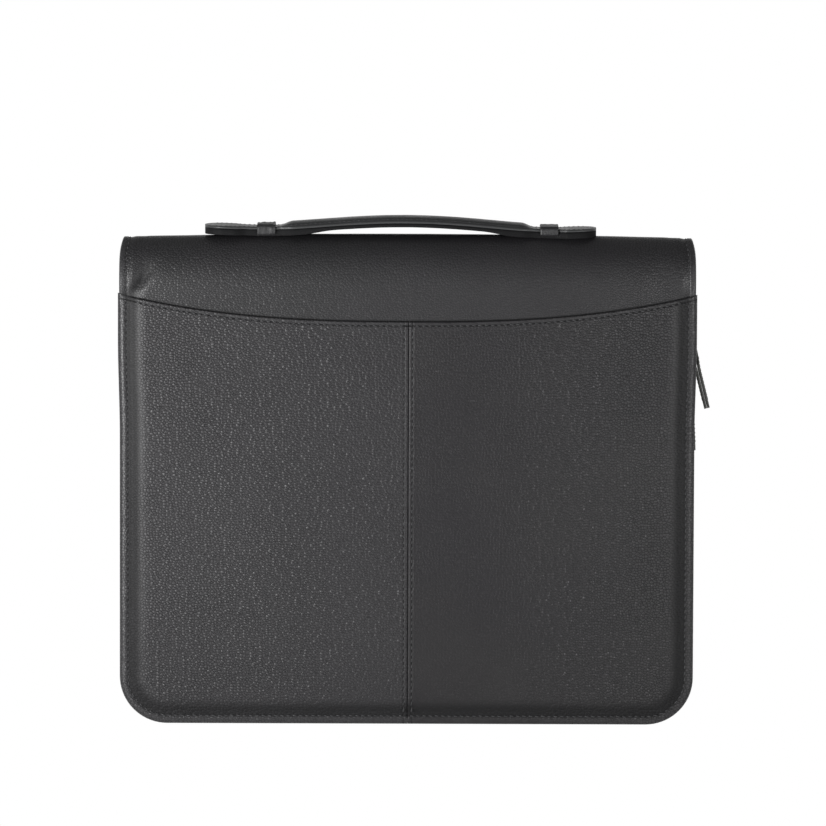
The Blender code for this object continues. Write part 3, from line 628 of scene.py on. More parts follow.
def make_pocket_panel(name, hand):
    skins = WRAP_SKIN + (POCKET_SKIN - WRAP_SKIN) * smoothstep(rim[:, 0] / RIM_WIDTH)
    outer = offset_line(rim, PIECE_GAP + skins)
    inner = offset_line(rim, np.full(len(rim), PIECE_GAP))[::3]
    levels = [(a, b, 1.0) for a, b in outer] + [(a, b, 0.0) for a, b in inner[::-1]]
    seam_x = 0.03 * MM              # half of the gap between the two panels
    near_seam = np.array((0, 0.15, 0.35, 0.7, 1.1, 1.6, 1.9, 2.15, 2.35, 2.55, 2.75,
                          3.0, 3.5, 4.2, 5.0, 6.0)) * MM
    near_mouth = np.array((14, 12, 10, 8.4, 7.0, 6.0, 5.0, 4.2, 3.6, 3.2, 2.9, 2.7, 2.5, 2.3, 2.0,
                           1.6, 1.1, 0.7, 0.35, 0.15, 0)) * MM
    corner = corner_stations("back")
    low = CORNER_RADIUS + EDGE_WRAP
    high = MOUTH_HEIGHT - near_mouth[0]
    count = round((high - low) / POCKET_GRID)
    heights = [low + (high - low) * i / count for i in range(1, count)]
    heights += [MOUTH_HEIGHT - d for d in near_mouth]
    rows = len(corner) + len(heights)
    wide = np.linspace(0, 1, round(PANEL_REACH / POCKET_GRID))[1:]
    columns = len(near_seam) + len(wide)
    points, faces = [], []

    def raised(h, x):
        """Rows bend with the mouth's curve, the more the nearer they are to it."""
        return h + mouth_rise(x) * smoothstep((h / MOUTH_HEIGHT - BEND_FROM) / BEND_OVER)

    def edge_of(row, inset):
        if row < len(corner):
            x, along = place(corner[row], inset)
            return x, along * SPRING_HEIGHT
        h = heights[row - len(corner)]
        z = raised(h, half_width(MOUTH_HEIGHT) - inset)
        return half_width(z) - inset, z

    def column_x(column, x_end):
        if column < len(near_seam):
            return seam_x + near_seam[column]
        start = seam_x + near_seam[-1]
        return start + (x_end - start) * wide[column - len(near_seam)]

    def add(x, z, inset, height, outside):
        points.append((hand * x, z, inset, height, outside))
        return len(points) - 1

    def path(level):
        inset, height, outside = level
        x_end, z = edge_of(0, inset)
        numbers = [add(column_x(c, x_end), z, inset, height, outside) for c in range(columns - 1)]
        return numbers + [add(*edge_of(row, inset), inset, height, outside) for row in range(rows)]

    def fill_middle(numbers, level):
        inset, height, outside = level
        grid = [numbers[:columns]]
        for row in range(1, rows):
            x_end, z = edge_of(row, inset)
            line = []
            for c in range(columns - 1):
                x = column_x(c, x_end)
                if row >= len(corner):
                    z = raised(heights[row - len(corner)], x)
                line.append(add(x, z, inset, height, outside))
            grid.append([*line, numbers[columns - 1 + row]])
        for one, other in zip(grid, grid[1:]):
            for j in range(columns - 1):
                faces.append((one[j], one[j + 1], other[j + 1], other[j]))
        return grid

    paths = [path(level) for level in levels]
    for one, other in zip(paths, paths[1:]):
        for i in range(len(one) - 1):
            faces.append((one[i], one[i + 1], other[i + 1], other[i]))
    front = fill_middle(paths[0], levels[0])
    rear = fill_middle(paths[-1], levels[-1])
    for row in range(rows - 1):
        faces.append((front[row][0], front[row + 1][0], rear[row + 1][0], rear[row][0]))
    for c in range(columns - 1):
        faces.append((front[-1][c], front[-1][c + 1], rear[-1][c + 1], rear[-1][c]))

    x, z, inset, height, outside = np.array(points).T
    from_seam = np.abs(x) - seam_x
    x = beside_seam(x)
    along = z / SPRING_HEIGHT
    share = np.clip(height / PADDING, 0, 1)
    down = MOUTH_HEIGHT + mouth_rise(x) - z
    flat = wrap_point(x, along, height)
    hem = read_table(HEM, down) + read_table(SEAM, from_seam)
    lift = height + share * (relief(x, along) + soft_waves(flat))
    lift += outside * hem * smoothstep(inset / RIM_WIDTH)
    solid = name.replace("leather", "panel")
    made = add_piece(name, wrap_point(x, along, lift), faces, [solid])
    keep_values(made, inset=inset, down=down, seam=from_seam)
    keep_hide_place(made, x, along)
    return turned_out(made)


pocket_left = make_pocket_panel("pocket_leather_left", -1)
pocket_right = make_pocket_panel("pocket_leather_right", 1)

# %% [markdown]
# Stitches are real threads here: short bent capsules that dive into the leather at both ends. A
# helper lays them at an even pitch along any line that lies on a surface, each a little slanted,
# as saddle stitches are. All the stitches of one seam are one piece.

# %% Stitches
STITCH_PITCH = 3.9 * MM
THREAD_RADIUS = 0.34 * MM
thread_pieces = []


def along_line(line, normals, at):
    """Places and normals at distances along a line of points."""
    run = np.concatenate([[0], np.cumsum(np.linalg.norm(np.diff(line, axis=0), axis=1))])
    places = np.stack([np.interp(at, run, line[:, k]) for k in range(3)], axis=-1)
    ups = np.stack([np.interp(at, run, normals[:, k]) for k in range(3)], axis=-1)
    return places, ups / np.linalg.norm(ups, axis=1)[:, None]


def line_length(line):
    return np.linalg.norm(np.diff(line, axis=0), axis=1).sum()


def sew(name, lines, pitch=STITCH_PITCH, radius=THREAD_RADIUS, share=0.74, slant=0.12):
    """Threads along lines of (points, normals). A thread fills a share of the pitch and is slanted."""
    points, faces = [], []
    sides, steps = 6, 6
    t = np.linspace(0, 1, steps)
    turn = 2 * np.pi * np.arange(sides) / sides
    for line, normals in lines:
        count = int(line_length(line) / pitch)
        for k in range(count):
            at = (k + 0.5 + share * (t - 0.5)) * pitch
            places, ups = along_line(line, normals, at)
            run = places[-1] - places[0]
            run /= np.linalg.norm(run)
            side = np.cross(run, ups)
            height = radius * (2.0 * np.sin(np.pi * t) ** 0.6 - 1.25)
            wander = slant * pitch * (t - 0.5) + 0.05 * pitch * noise.noise(Vector(places[0]) * 900)
            for i in range(steps):
                girth = radius * (0.65 + 0.35 * math.sin(math.pi * t[i]))
                centre = places[i] + ups[i] * height[i] + side[i] * wander[i]
                for a in turn:
                    points.append(centre + girth * (math.cos(a) * side[i] + math.sin(a) * ups[i]))
            faces += joined_rings(steps, sides, len(points) - sides * steps)
    thread_pieces.append(add_piece(name, points, faces, smooth_deg=70))


def line_on_wrap(x, along, lift):
    """Points and normals of a line on the wrapped leather."""
    low = wrap_point(x, along, lift)
    return low, wrap_point(x, along, lift + MM) - low


def rim_line(side, hand, inset, raise_by, z_from, z_to):
    """A line along the rim: from the bottom middle round the corner, up to a height."""
    spots = [place(s, inset) for s in corner_stations(side)]
    bottom_x, bottom_along = spots[0]
    spots = [(bottom_x * (0.01 + 0.99 * i / 30), bottom_along) for i in range(30)] + spots
    low = CORNER_RADIUS + EDGE_WRAP
    spots += [place((side, "edge", low + (z_to - low) * i / 60), inset) for i in range(1, 61)]
    x, along = np.array(spots).T
    z = wrap_height(x, along)
    keep = (z >= z_from) & (z <= z_to + 1e-6)
    x, along = x[keep] * hand, along[keep]
    return line_on_wrap(x, along, np.full(len(x), rim_height(inset) + raise_by))


STITCH_INSET = 4.4 * MM
POCKET_RAISE = PIECE_GAP + POCKET_SKIN
pocket_top = MOUTH_HEIGHT + MOUTH_DROP
sew("stitches_pocket_rim", [
    rim_line("back", hand, STITCH_INSET, POCKET_RAISE, 0.0, pocket_top - 2.5 * MM) for hand in (-1, 1)])
spine_lines = []
for hand in (-1, 1):
    above = np.linspace((pocket_top + 1 * MM) / SPRING_HEIGHT, 1, 8)
    over = 1 + np.linspace(0, 1, 40)[1:]
    spots = [place(("back", "edge", a * SPRING_HEIGHT), STITCH_INSET) for a in above]
    spots += [place(("back", "spine", (a - 1) * math.pi), STITCH_INSET) for a in over]
    x, along = np.array(spots).T
    groove = rim_height(STITCH_INSET)
    spine_lines.append(line_on_wrap(hand * x, along, groove + end_rise(groove, x, along)))
spine_lines += [rim_line("front", hand, STITCH_INSET, 0.0, 0.0, SPRING_HEIGHT) for hand in (-1, 1)]
sew("stitches_cover_rim", spine_lines)


def on_pocket(x, z, extra=0.0):
    """A line on the pocket's outer face, away from its rim."""
    x = beside_seam(x)
    along = z / SPRING_HEIGHT
    flat = wrap_point(x, along, np.zeros(len(x)))
    inset = np.minimum(half_width(z) - np.abs(x), PAD_INSET)
    height = rim_height(inset)
    share = np.clip(height / PADDING, 0, 1)
    lift = height + share * (relief(x, along) + soft_waves(flat)) + POCKET_RAISE + extra
    return line_on_wrap(x, along, lift)


MOUTH_STITCH = 2.7 * MM
SEAM_STITCH = 2.52 * MM
mouth_end = CASE_WIDTH / 2 - 6.5 * MM
mouth_lines = []
for hand in (-1, 1):
    x = hand * np.linspace(3.5 * MM, mouth_end, 90)
    mouth_lines.append(on_pocket(x, MOUTH_HEIGHT + mouth_rise(x) - MOUTH_STITCH, -MOUTH_GROOVE))
sew("stitches_mouth", mouth_lines)
z = np.linspace(7.5 * MM, MOUTH_HEIGHT - 1.0 * MM, 120)
sew("stitches_seam", [
    on_pocket(np.full(len(z), hand * SEAM_STITCH), z, -SEAM_GROOVE) for hand in (-1, 1)])

# %% [markdown]
# The zip closes the three open sides. Its teeth are a nylon coil: a long row of small rounded
# loops that lock from left and right. The woven tapes beside it run to the inside of the covers.

# %% The zip's line
SIDE_RECESS = 0.0053
BASE_RECESS = 0.0020
CHAIN_WIDTH = 0.0050
TAPE_THICKNESS = 0.0010
TAPE_STEP = 0.0006
ZIP_CORNER_RADIUS = 0.0270
SIDE_X = CASE_WIDTH / 2 - SIDE_RECESS


def zip_line(step):
    """Points (x, z) and outward directions, from the left end of the spine to its right end."""
    angles = np.radians(np.linspace(60, 0, 12))
    top = []
    for angle in angles:
        spot = wrap_point(SIDE_X, 1 + angle / math.pi, -COVER_WALL)
        top.append((SIDE_X, spot[2], 1.0, 0.0, angle))
    low = BASE_RECESS + ZIP_CORNER_RADIUS
    count = round((SPRING_HEIGHT - low) / step)
    heights = [SPRING_HEIGHT + (low - SPRING_HEIGHT) * i / count for i in range(1, count)]
    side = [(SIDE_X, z, 1.0, 0.0, 0.0) for z in heights]
    corner = []
    for turn in np.linspace(0, np.pi / 2, 14):
        out_x, out_z = math.cos(turn), -math.sin(turn)
        x, z = SIDE_X + ZIP_CORNER_RADIUS * (out_x - 1), low + ZIP_CORNER_RADIUS * out_z
        corner.append((x, z, out_x, out_z, 0.0))
    right = np.array(top + side + corner)
    inner_x = right[-1][0]
    count = round(2 * inner_x / step)
    across = [inner_x - 2 * inner_x * i / count for i in range(1, count)]
    base = np.array([(x, BASE_RECESS, 0.0, -1.0, 0.0) for x in across])
    left = right[::-1] * (-1, 1, -1, 1, 1)
    return np.vstack([right, base, left])[::-1]


def strip(name, across, line, thickness, stands_for):
    """A ribbon with rounded long edges. across gives its two edges at each point of the line."""
    points = []
    profile = [(0.0, 0.5), (0.04, 0.9), (0.12, 1.0), (0.5, 1.0), (0.88, 1.0), (0.96, 0.9), (1.0, 0.5)]
    profile += [(a, 1 - b) for a, b in profile[::-1][1:-1]]
    for x, z, out_x, out_z, angle in line:
        y_from, y_to = across(x, angle)
        for a, b in profile:
            depth = (b - 1) * thickness
            points.append((x + out_x * depth, y_from + (y_to - y_from) * a, z + out_z * depth))
    faces = joined_rings(len(line), len(profile))
    return turned_out(add_piece(name, points, faces, stands_for))


TAPE_TUCK = 0.9 * MM            # how far the tape runs in under the coil
zip_run = zip_line(2.5 * MM)
sunk = zip_run.copy()
sunk[:, :2] -= zip_run[:, 2:4] * TAPE_STEP
tapes = []
for side_name, hand in (("back", -1), ("front", 1)):
    def tape_edges(x, angle, hand=hand):
        far = abs(wrap_point(abs(x), 1 + angle / math.pi, -COVER_WALL)[1] - MIDDLE) - PIECE_GAP
        return MIDDLE + hand * (CHAIN_WIDTH / 2 - TAPE_TUCK), MIDDLE + hand * far
    tapes.append(strip("tape_" + side_name, tape_edges, sunk, TAPE_THICKNESS,
                       ["zip_tape_" + side_name]))

# %% [markdown]
# The coil of this zip is one nylon thread, bent into loops that grip each other from both sides. At
# this size only their round backs show, so each loop is a short capsule with bent ends. They are
# real shapes, because the row's outline is seen from the side.

# %% The zip's teeth
TOOTH_PITCH = 1.45 * MM
TOOTH_RADIUS = 0.52 * MM
TOOTH_REACH = 2.1 * MM


def make_teeth():
    face = np.stack([zip_run[:, 0], np.full(len(zip_run), MIDDLE), zip_run[:, 1]], axis=1)
    out = np.stack([zip_run[:, 2], np.zeros(len(zip_run)), zip_run[:, 3]], axis=1)
    count = int(line_length(face) / TOOTH_PITCH)
    places, ups = along_line(face, out, (np.arange(count) + 0.5) * TOOTH_PITCH)
    points, faces = [], []
    sides = 6
    across = np.array((0.0, 1.0, 0.0))
    # Share of the tooth's reach, girth and how far it bends down, from its tip to its root.
    loop = ((-0.42, 0.45, 0.25), (-0.30, 0.95, 0.05), (0.0, 1.0, 0.0), (0.55, 1.0, 0.0),
            (0.92, 0.95, 0.12), (1.05, 0.6, 0.45))
    for k, (spot, up) in enumerate(zip(places, ups)):
        hand = 1 if k % 2 else -1
        run = np.cross(up, across)
        for reach_share, girth, sink in loop:
            centre = spot + across * hand * reach_share * TOOTH_REACH
            centre = centre - up * (TOOTH_RADIUS * 1.05 + sink * MM)
            for a in 2 * np.pi * np.arange(sides) / sides:
                points.append(centre + girth * TOOTH_RADIUS * (1.15 * math.cos(a) * run + math.sin(a) * up))
        faces += joined_rings(len(loop), sides, len(points) - sides * len(loop))
    return turned_out(add_piece("zip_coil", points, faces, ["zip_chain"], 70))


coil = make_teeth()

# %% [markdown]
# Two sliders run on the zip's right side, each with a bail over its back. Cast metal has no sharp
# edge, so each slider starts from its measured solid and gets a bevel on its sharp edges. Drawing it
# anew would only repeat the same flat faces.

# %% The sliders
EDGE_ROUND = 0.22 * MM


def softened(name, node, stands_for):
    """A copy of a measured solid with its edges rounded."""
    work = bmesh.new()
    work.from_mesh(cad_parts[node].data)
    bmesh.ops.remove_doubles(work, verts=work.verts, dist=1e-6)
    bmesh.ops.dissolve_limit(work, angle_limit=math.radians(3), verts=work.verts, edges=work.edges)
    sharp = [e for e in work.edges if len(e.link_faces) == 2 and e.calc_face_angle() > math.radians(20)]
    bmesh.ops.bevel(work, geom=sharp, offset=EDGE_ROUND, segments=3, profile=0.5, affect="EDGES",
                    clamp_overlap=True)
    mesh = bpy.data.meshes.new(name)
    work.to_mesh(mesh)
    work.free()
    made = bpy.data.objects.new(name, mesh)
    scene.collection.objects.link(made)
    mesh.shade_smooth()
    mesh.set_sharp_from_angle(angle=math.radians(40))
    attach(made, "root")
    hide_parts(*stands_for)
    return made


sliders = [softened("slider_" + n, "zip_slider_" + n, ["zip_slider_" + n])
           for n in ("upper", "lower")]
print("sliders with", [len(made.data.polygons) for made in sliders], "faces")

# %% [markdown]
# A wire ring hangs in each bail, and a strip of leather is folded round the ring and sewn to itself.
# The ring is a round tube along a line with four round corners. The strip is one profile carried
# down one face, round the wire and up the other face. A box folded in the middle would have no room
# for the wire.

# %% The rings and the leather pulls
SLIDER_HEIGHTS = {"upper": (0.2412, 14.0), "lower": (0.2160, 2.8)}     # height, lean in degrees
SLIDER_PLATE = 0.0013
BAIL_OPENING = 0.0018
RING_WIRE = 0.0012
RING_WIDTH = 0.0092
RING_LENGTH = 0.0085
PULL_LEATHER = 0.0017
PULL_SPREAD = 0.0001
PULL_WIDTH = 0.0110
PULL_NECK = 0.0066
PULL_LENGTH = 0.0370
PINCH_END = 0.35                # share of the length where the two layers have come together
PULL_SEAM_INSET = 1.3 * MM


def pull_frame(height, lean_deg):
    """The ring's upper bar, and the directions down the pull and out from it."""
    lean = math.radians(lean_deg)
    bar = np.array((SIDE_X + PIECE_GAP + SLIDER_PLATE + BAIL_OPENING / 2, MIDDLE, height))
    down = np.array((math.sin(lean), 0, -math.cos(lean)))
    away = np.array((math.cos(lean), 0, math.sin(lean)))
    return bar, down, away


def tube(line, radius, sides, closed, hint):
    """Points and faces of a round wire along a line."""
    points, faces = [], []
    count = len(line)
    for i in range(count):
        ahead = line[(i + 1) % count] if closed or i < count - 1 else line[i]
        behind = line[i - 1] if closed or i > 0 else line[i]
        run = ahead - behind
        run /= np.linalg.norm(run)
        side = np.cross(run, hint)
        side /= np.linalg.norm(side)
        up = np.cross(side, run)
        for a in 2 * np.pi * np.arange(sides) / sides:
            points.append(line[i] + radius * (math.cos(a) * side + math.sin(a) * up))
    for i in range(count if closed else count - 1):
        k = (i + 1) % count
        for j in range(sides):
            m = (j + 1) % sides
            faces.append((i * sides + j, i * sides + m, k * sides + m, k * sides + j))
    return points, faces


def make_ring(name, bar, down, away):
    across = np.array((0.0, 1.0, 0.0))
    corner = 1.6 * RING_WIRE
    line = []
    for side, low, start in ((1, 0, -90), (1, 1, 0), (-1, 1, 90), (-1, 0, 180)):
        for a in np.radians(np.linspace(start, start + 90, 9)):
            mid = across * side * (RING_WIDTH / 2 - corner) + down * (RING_LENGTH - corner if low else corner)
            line.append(bar + mid + corner * (across * math.cos(a) + down * math.sin(a)))
    points, faces = tube(line, RING_WIRE / 2, 12, True, away)
    return turned_out(add_piece("ring_" + name, points, faces, ["zip_ring_" + name]))


def rounded_end(half, end, radius, least):
    """A strip's half width, drawn in to a half circle where its end is near."""
    if end < radius:
        half = min(half, math.sqrt(max(0.0, radius ** 2 - (radius - end) ** 2)))
    return max(half, least * radius)


def mirrored(half_profile):
    """A whole profile from its left half. The point in the middle, if any, isn't repeated."""
    return half_profile + tuple((-a, *rest) for a, *rest in half_profile[::-1] if a != 0)


def pull_half_width(down):
    half = PULL_NECK + (PULL_WIDTH - PULL_NECK) * smoothstep((down - RING_WIRE) / (0.22 * PULL_LENGTH))
    return rounded_end(half / 2, PULL_LENGTH - down, PULL_WIDTH / 2, 0.06)


def make_pull(name, bar, down, away):
    """Two layers of leather that meet below the ring. Their long edges are rounded and painted."""
    lower_bar = bar + down * RING_LENGTH
    hollow = RING_WIRE / 2 + PIECE_GAP
    tip = PULL_LENGTH - PULL_WIDTH / 2 * (1 - np.cos(np.linspace(0, np.pi / 2, 14)))
    straight = np.linspace(PULL_LENGTH - PULL_WIDTH / 2, 0.05 * PULL_LENGTH, 22)[1:]

    def half_gap(d):
        return hollow + (PULL_SPREAD / 2 - hollow) * smoothstep(d / PULL_LENGTH / PINCH_END)

    one, other = [], []
    for d in np.sort(np.concatenate([tip, straight]))[::-1]:
        s = half_gap(d)
        one.append((lower_bar + down * d + away * s, away, d))
        other.append((lower_bar + down * d - away * s, -away, d))
    loop = []
    for a in np.linspace(0, np.pi, 13):
        radial = away * math.cos(a) - down * math.sin(a)
        loop.append((lower_bar + radial * hollow, radial, 0.0))
    # Across the strip: share of the half width, share of the thickness.
    half_profile = ((-0.90, 0.0), (-0.99, 0.2), (-1.0, 0.5), (-0.99, 0.8), (-0.90, 1.0), (-0.80, 0.93),
                    (-0.70, 1.0), (0.0, 1.02))
    profile = mirrored(half_profile)
    points, edge = [], []
    for base, normal, d in one + loop + other[::-1]:
        half = pull_half_width(d)
        for a, b in profile:
            points.append(base + np.array((0, a * half, 0)) + normal * b * PULL_LEATHER)
            edge.append(1.0 if abs(a) > 0.93 else 0.0)
    faces = joined_rings(len(points) // len(profile), len(profile))
    made = turned_out(add_piece("pull_" + name, points, faces, ["zip_pull_" + name], 50))
    keep_values(made, edge=edge)
    seams = []
    for side, face in ((-1, -1), (-1, 1), (1, -1), (1, 1)):
        line = []
        for d in np.linspace(0.10 * PULL_LENGTH, PULL_LENGTH - 4.5 * MM, 40):
            y = side * (pull_half_width(d) - PULL_SEAM_INSET)
            out = away * face * (half_gap(d) + PULL_LEATHER * 0.95)
            line.append(lower_bar + down * d + out + np.array((0, y, 0)))
        seams.append((np.array(line), np.tile(face * away, (len(line), 1))))
    sew("stitches_pull_" + name, seams, pitch=2.6 * MM, radius=0.22 * MM)
    return made


rings, pulls = [], []
for name, (height, lean_deg) in SLIDER_HEIGHTS.items():
    bar, down, away = pull_frame(height, lean_deg)
    rings.append(make_ring(name, bar, down, away))
    pulls.append(make_pull(name, bar, down, away))

# %% [markdown]
# The handle is a strap of two layers. Over the grip the upper one is domed by its padding, and the
# two layers are sewn together along their painted edges. Its rounded ends stop at two leather
# keepers, so that it can lie flat or be pulled up. Each layer is one profile carried along the
# strap, and a table of heights says how each point of the profile answers to layer and padding.

# %% The handle
HANDLE_SHIFT = -0.0045
HANDLE_LAYER = 0.0017
HANDLE_REST = 0.0005
HANDLE_RISE = 0.0049
NECK_WIDTH = 0.0160
GRIP_WIDTH = 0.0220
GRIP_LENGTH = 0.1600
GRIP_SHIFT = 0.0041
GRIP_TAPER = 0.0090
GRIP_PADDING = 0.0026
PADDLE_WIDTH = 0.0240
PADDLE_LENGTH = 0.0170
PADDLE_TAPER = 0.0085
PADDLE_LIFT = 0.0008
HANDLE_TILT = 0.0013
KEEPER_SPACING = 0.1760
HANDLE_LENGTH = 0.2434
KEEPER_WIDTH = 0.0115
KEEPER_LEATHER = 0.0013


def crown_height(x):
    """Top of the spine under the handle."""
    along = np.array([1.499])
    x = np.array([float(x)])
    return float(wrap_height(x, along)[0] + PADDING + relief(x, along)[0])


HANDLE_LEVEL = crown_height(0) + HANDLE_REST


def strap_bottom(x):
    span = KEEPER_SPACING / 2
    level = HANDLE_LEVEL - HANDLE_TILT * x / HANDLE_LENGTH
    if abs(x) < span:
        return level + HANDLE_RISE * max(0.0, math.cos(math.pi * x / (2 * span))) ** 1.5
    return level + PADDLE_LIFT * smoothstep((abs(x) - span) / (HANDLE_LENGTH / 2 - span))


def grip_share(x):
    return float(smoothstep((GRIP_LENGTH / 2 - abs(x - HANDLE_SHIFT - GRIP_SHIFT)) / GRIP_TAPER))


def strap_half_width(x):
    end = HANDLE_LENGTH / 2 - abs(x - HANDLE_SHIFT)
    half = (NECK_WIDTH + (GRIP_WIDTH - NECK_WIDTH) * grip_share(x)) / 2
    radius = PADDLE_WIDTH / 2
    half = radius + (half - radius) * float(smoothstep((end - PADDLE_LENGTH) / PADDLE_TAPER))
    return rounded_end(half, end, radius, 0.05)


def strap_stations():
    half = HANDLE_LENGTH / 2
    tip = half - PADDLE_WIDTH / 2 * (1 - np.cos(np.linspace(0, np.pi / 2, 16)))
    middle = np.linspace(-(half - PADDLE_WIDTH / 2), half - PADDLE_WIDTH / 2, 150)[1:-1]
    return HANDLE_SHIFT + np.sort(np.concatenate([-tip, middle, tip]))


UNDER_EXTRA = 0.6 * MM
UNDER_REST = 0.3 * MM
EDGE_HANG = 1.5 * MM
REST_FROM = 46 * MM             # from the middle, where the strap comes down on the spine
REST_OVER = 20 * MM


def no_drop(x, a, b):
    return 0.0


def make_strap(name, node, profile, base_of, padding, drop=no_drop):
    """A strap from one profile. Its rows are share of half width, share of layer, share of padding."""
    points, edge = [], []
    stations = strap_stations()
    for x in stations:
        half, base = strap_half_width(x), base_of(x)
        for a, b, c in profile:
            wave = 0.05 * MM * noise.noise(Vector((x * 160, a * 1.5, base * 40 + len(name))))
            z = base + b * HANDLE_LAYER + c * padding * grip_share(x) + wave + drop(x, a, b)
            points.append((x, MIDDLE + a * half, z))
            edge.append(1.0 if abs(a) > 0.955 else 0.0)
    faces = joined_rings(len(stations), len(profile))
    made = turned_out(add_piece(name, points, faces, [node], 50))
    keep_values(made, edge=edge)
    return made


LOWER_PROFILE = mirrored((
    (0.90, 0.0, 0), (0.97, 0.08, 0), (1.0, 0.35, 0), (1.0, 0.70, 0), (0.97, 0.95, 0), (0.90, 1.0, 0),
))
UPPER_PROFILE = mirrored((
    (0.90, 0.02, 0), (0.97, 0.06, 0), (1.0, 0.35, 0), (1.0, 0.70, 0.02), (0.97, 0.96, 0.05),
    (0.91, 1.03, 0.16), (0.86, 0.97, 0.24), (0.82, 0.95, 0.33), (0.77, 1.0, 0.46), (0.68, 1.0, 0.64),
    (0.56, 1.0, 0.79), (0.42, 1.0, 0.90), (0.22, 1.0, 0.98), (0.0, 1.0, 1.0),
))


def upper_base(x):
    return strap_bottom(x) + HANDLE_LAYER + PIECE_GAP * 0.4


def under_drop(x, a, b):
    """The under layer is thick, and where it rests its edges hang over the round spine."""
    resting = float(smoothstep((abs(x) - REST_FROM) / REST_OVER))
    low = 1 - b
    return -low * (UNDER_EXTRA + resting * (UNDER_REST + EDGE_HANG * a * a))


strap_lower = make_strap("handle_under_leather", "handle_lower_strap", LOWER_PROFILE, strap_bottom,
                         0.0, under_drop)
strap_upper = make_strap("handle_grip_leather", "handle_upper_strap", UPPER_PROFILE, upper_base,
                         GRIP_PADDING)

handle_lines = []
for side in (-1, 1):
    line = []
    for x in strap_stations()[10:-10]:
        half = strap_half_width(x)
        z = upper_base(x) + 0.90 * HANDLE_LAYER + 0.30 * GRIP_PADDING * grip_share(x)
        line.append((x, MIDDLE + side * half * 0.84, z))
    line = np.array(line)
    handle_lines.append((line, np.tile((0, side * 0.35, 0.94), (len(line), 1))))
sew("stitches_handle", handle_lines, pitch=3.0 * MM, radius=0.26 * MM)

# %% [markdown]
# A keeper is a narrow band that comes out of the spine, goes over the strap and back in. The left
# one is drawn tight and has puckered. It is made as a profile carried round a line with two round
# bends, with some noise that grows towards its outer face for the puckers.

# %% The keepers
PUCKERS_LEFT = 0.60 * MM
PUCKERS_RIGHT = 0.10 * MM


def make_keeper(name, hand, crinkle):
    x_middle = hand * KEEPER_SPACING / 2
    spots = [x_middle + s * KEEPER_WIDTH / 2 for s in (-1, 0, 1)]
    inside_y = max(strap_half_width(x) for x in spots) + PIECE_GAP
    inside_z = max(strap_bottom(x) for x in spots) + 2 * HANDLE_LAYER + 2 * PIECE_GAP
    bend = 0.8 * MM
    foot = HANDLE_LEVEL + 0.1 * MM
    line = [(-inside_y * t, foot - 0.4 * MM, 0.0, -1.0) for t in (0.0, 0.3, 0.6, 0.85)]
    for t in np.linspace(0, 1, 8)[:-1]:
        line.append((-inside_y, foot + (inside_z - bend - foot) * t, -1.0, 0.0))
    for a in np.linspace(0, np.pi / 2, 7):
        out_y, out_z = -math.cos(a), math.sin(a)
        line.append((-inside_y + bend + bend * out_y, inside_z - bend + bend * out_z, out_y, out_z))
    flat = np.linspace(-inside_y + bend, inside_y - bend, 12)[1:-1]
    line = np.array(line)
    line = np.vstack([line, [(y, inside_z, 0.0, 1.0) for y in flat], line[::-1] * (-1, 1, -1, 1)])
    profile = mirrored(((-0.46, 0.0), (-0.49, 0.25), (-0.5, 0.5), (-0.49, 0.8), (-0.46, 0.98), (-0.40, 1.0),
                        (-0.32, 1.0), (-0.22, 1.0), (-0.11, 1.0), (0.0, 1.0)))
    points, edge = [], []
    for i, (y, z, out_y, out_z) in enumerate(line):
        for a, b in profile:
            x = x_middle + a * KEEPER_WIDTH
            ridge = crinkle * noise.noise(Vector((x * 620, i * 0.16, hand * 5))) * b
            thick = b * KEEPER_LEATHER + ridge
            points.append((x, MIDDLE + y + out_y * thick, z + out_z * thick))
            edge.append(1.0 if abs(a) > 0.47 else 0.0)
    faces = joined_rings(len(line), len(profile))
    made = turned_out(add_piece(name, points, faces, [name.replace("_leather", "")], 60))
    keep_values(made, edge=edge)
    return made


keepers = [make_keeper("keeper_left_leather", -1, PUCKERS_LEFT),
           make_keeper("keeper_right_leather", 1, PUCKERS_RIGHT)]

# %% [markdown]
# Full-grain leather has pebbles of one to two millimetres with creases between them. The group makes
# them from cells, warped a little so that they don't look drawn. Each pebble is a dome that falls off
# into its creases, some lower than others, with a fine noise over them all. A noise alone would have
# no creases. It gives out a height and a mask of the creases.

# %% Node group: pebble grain


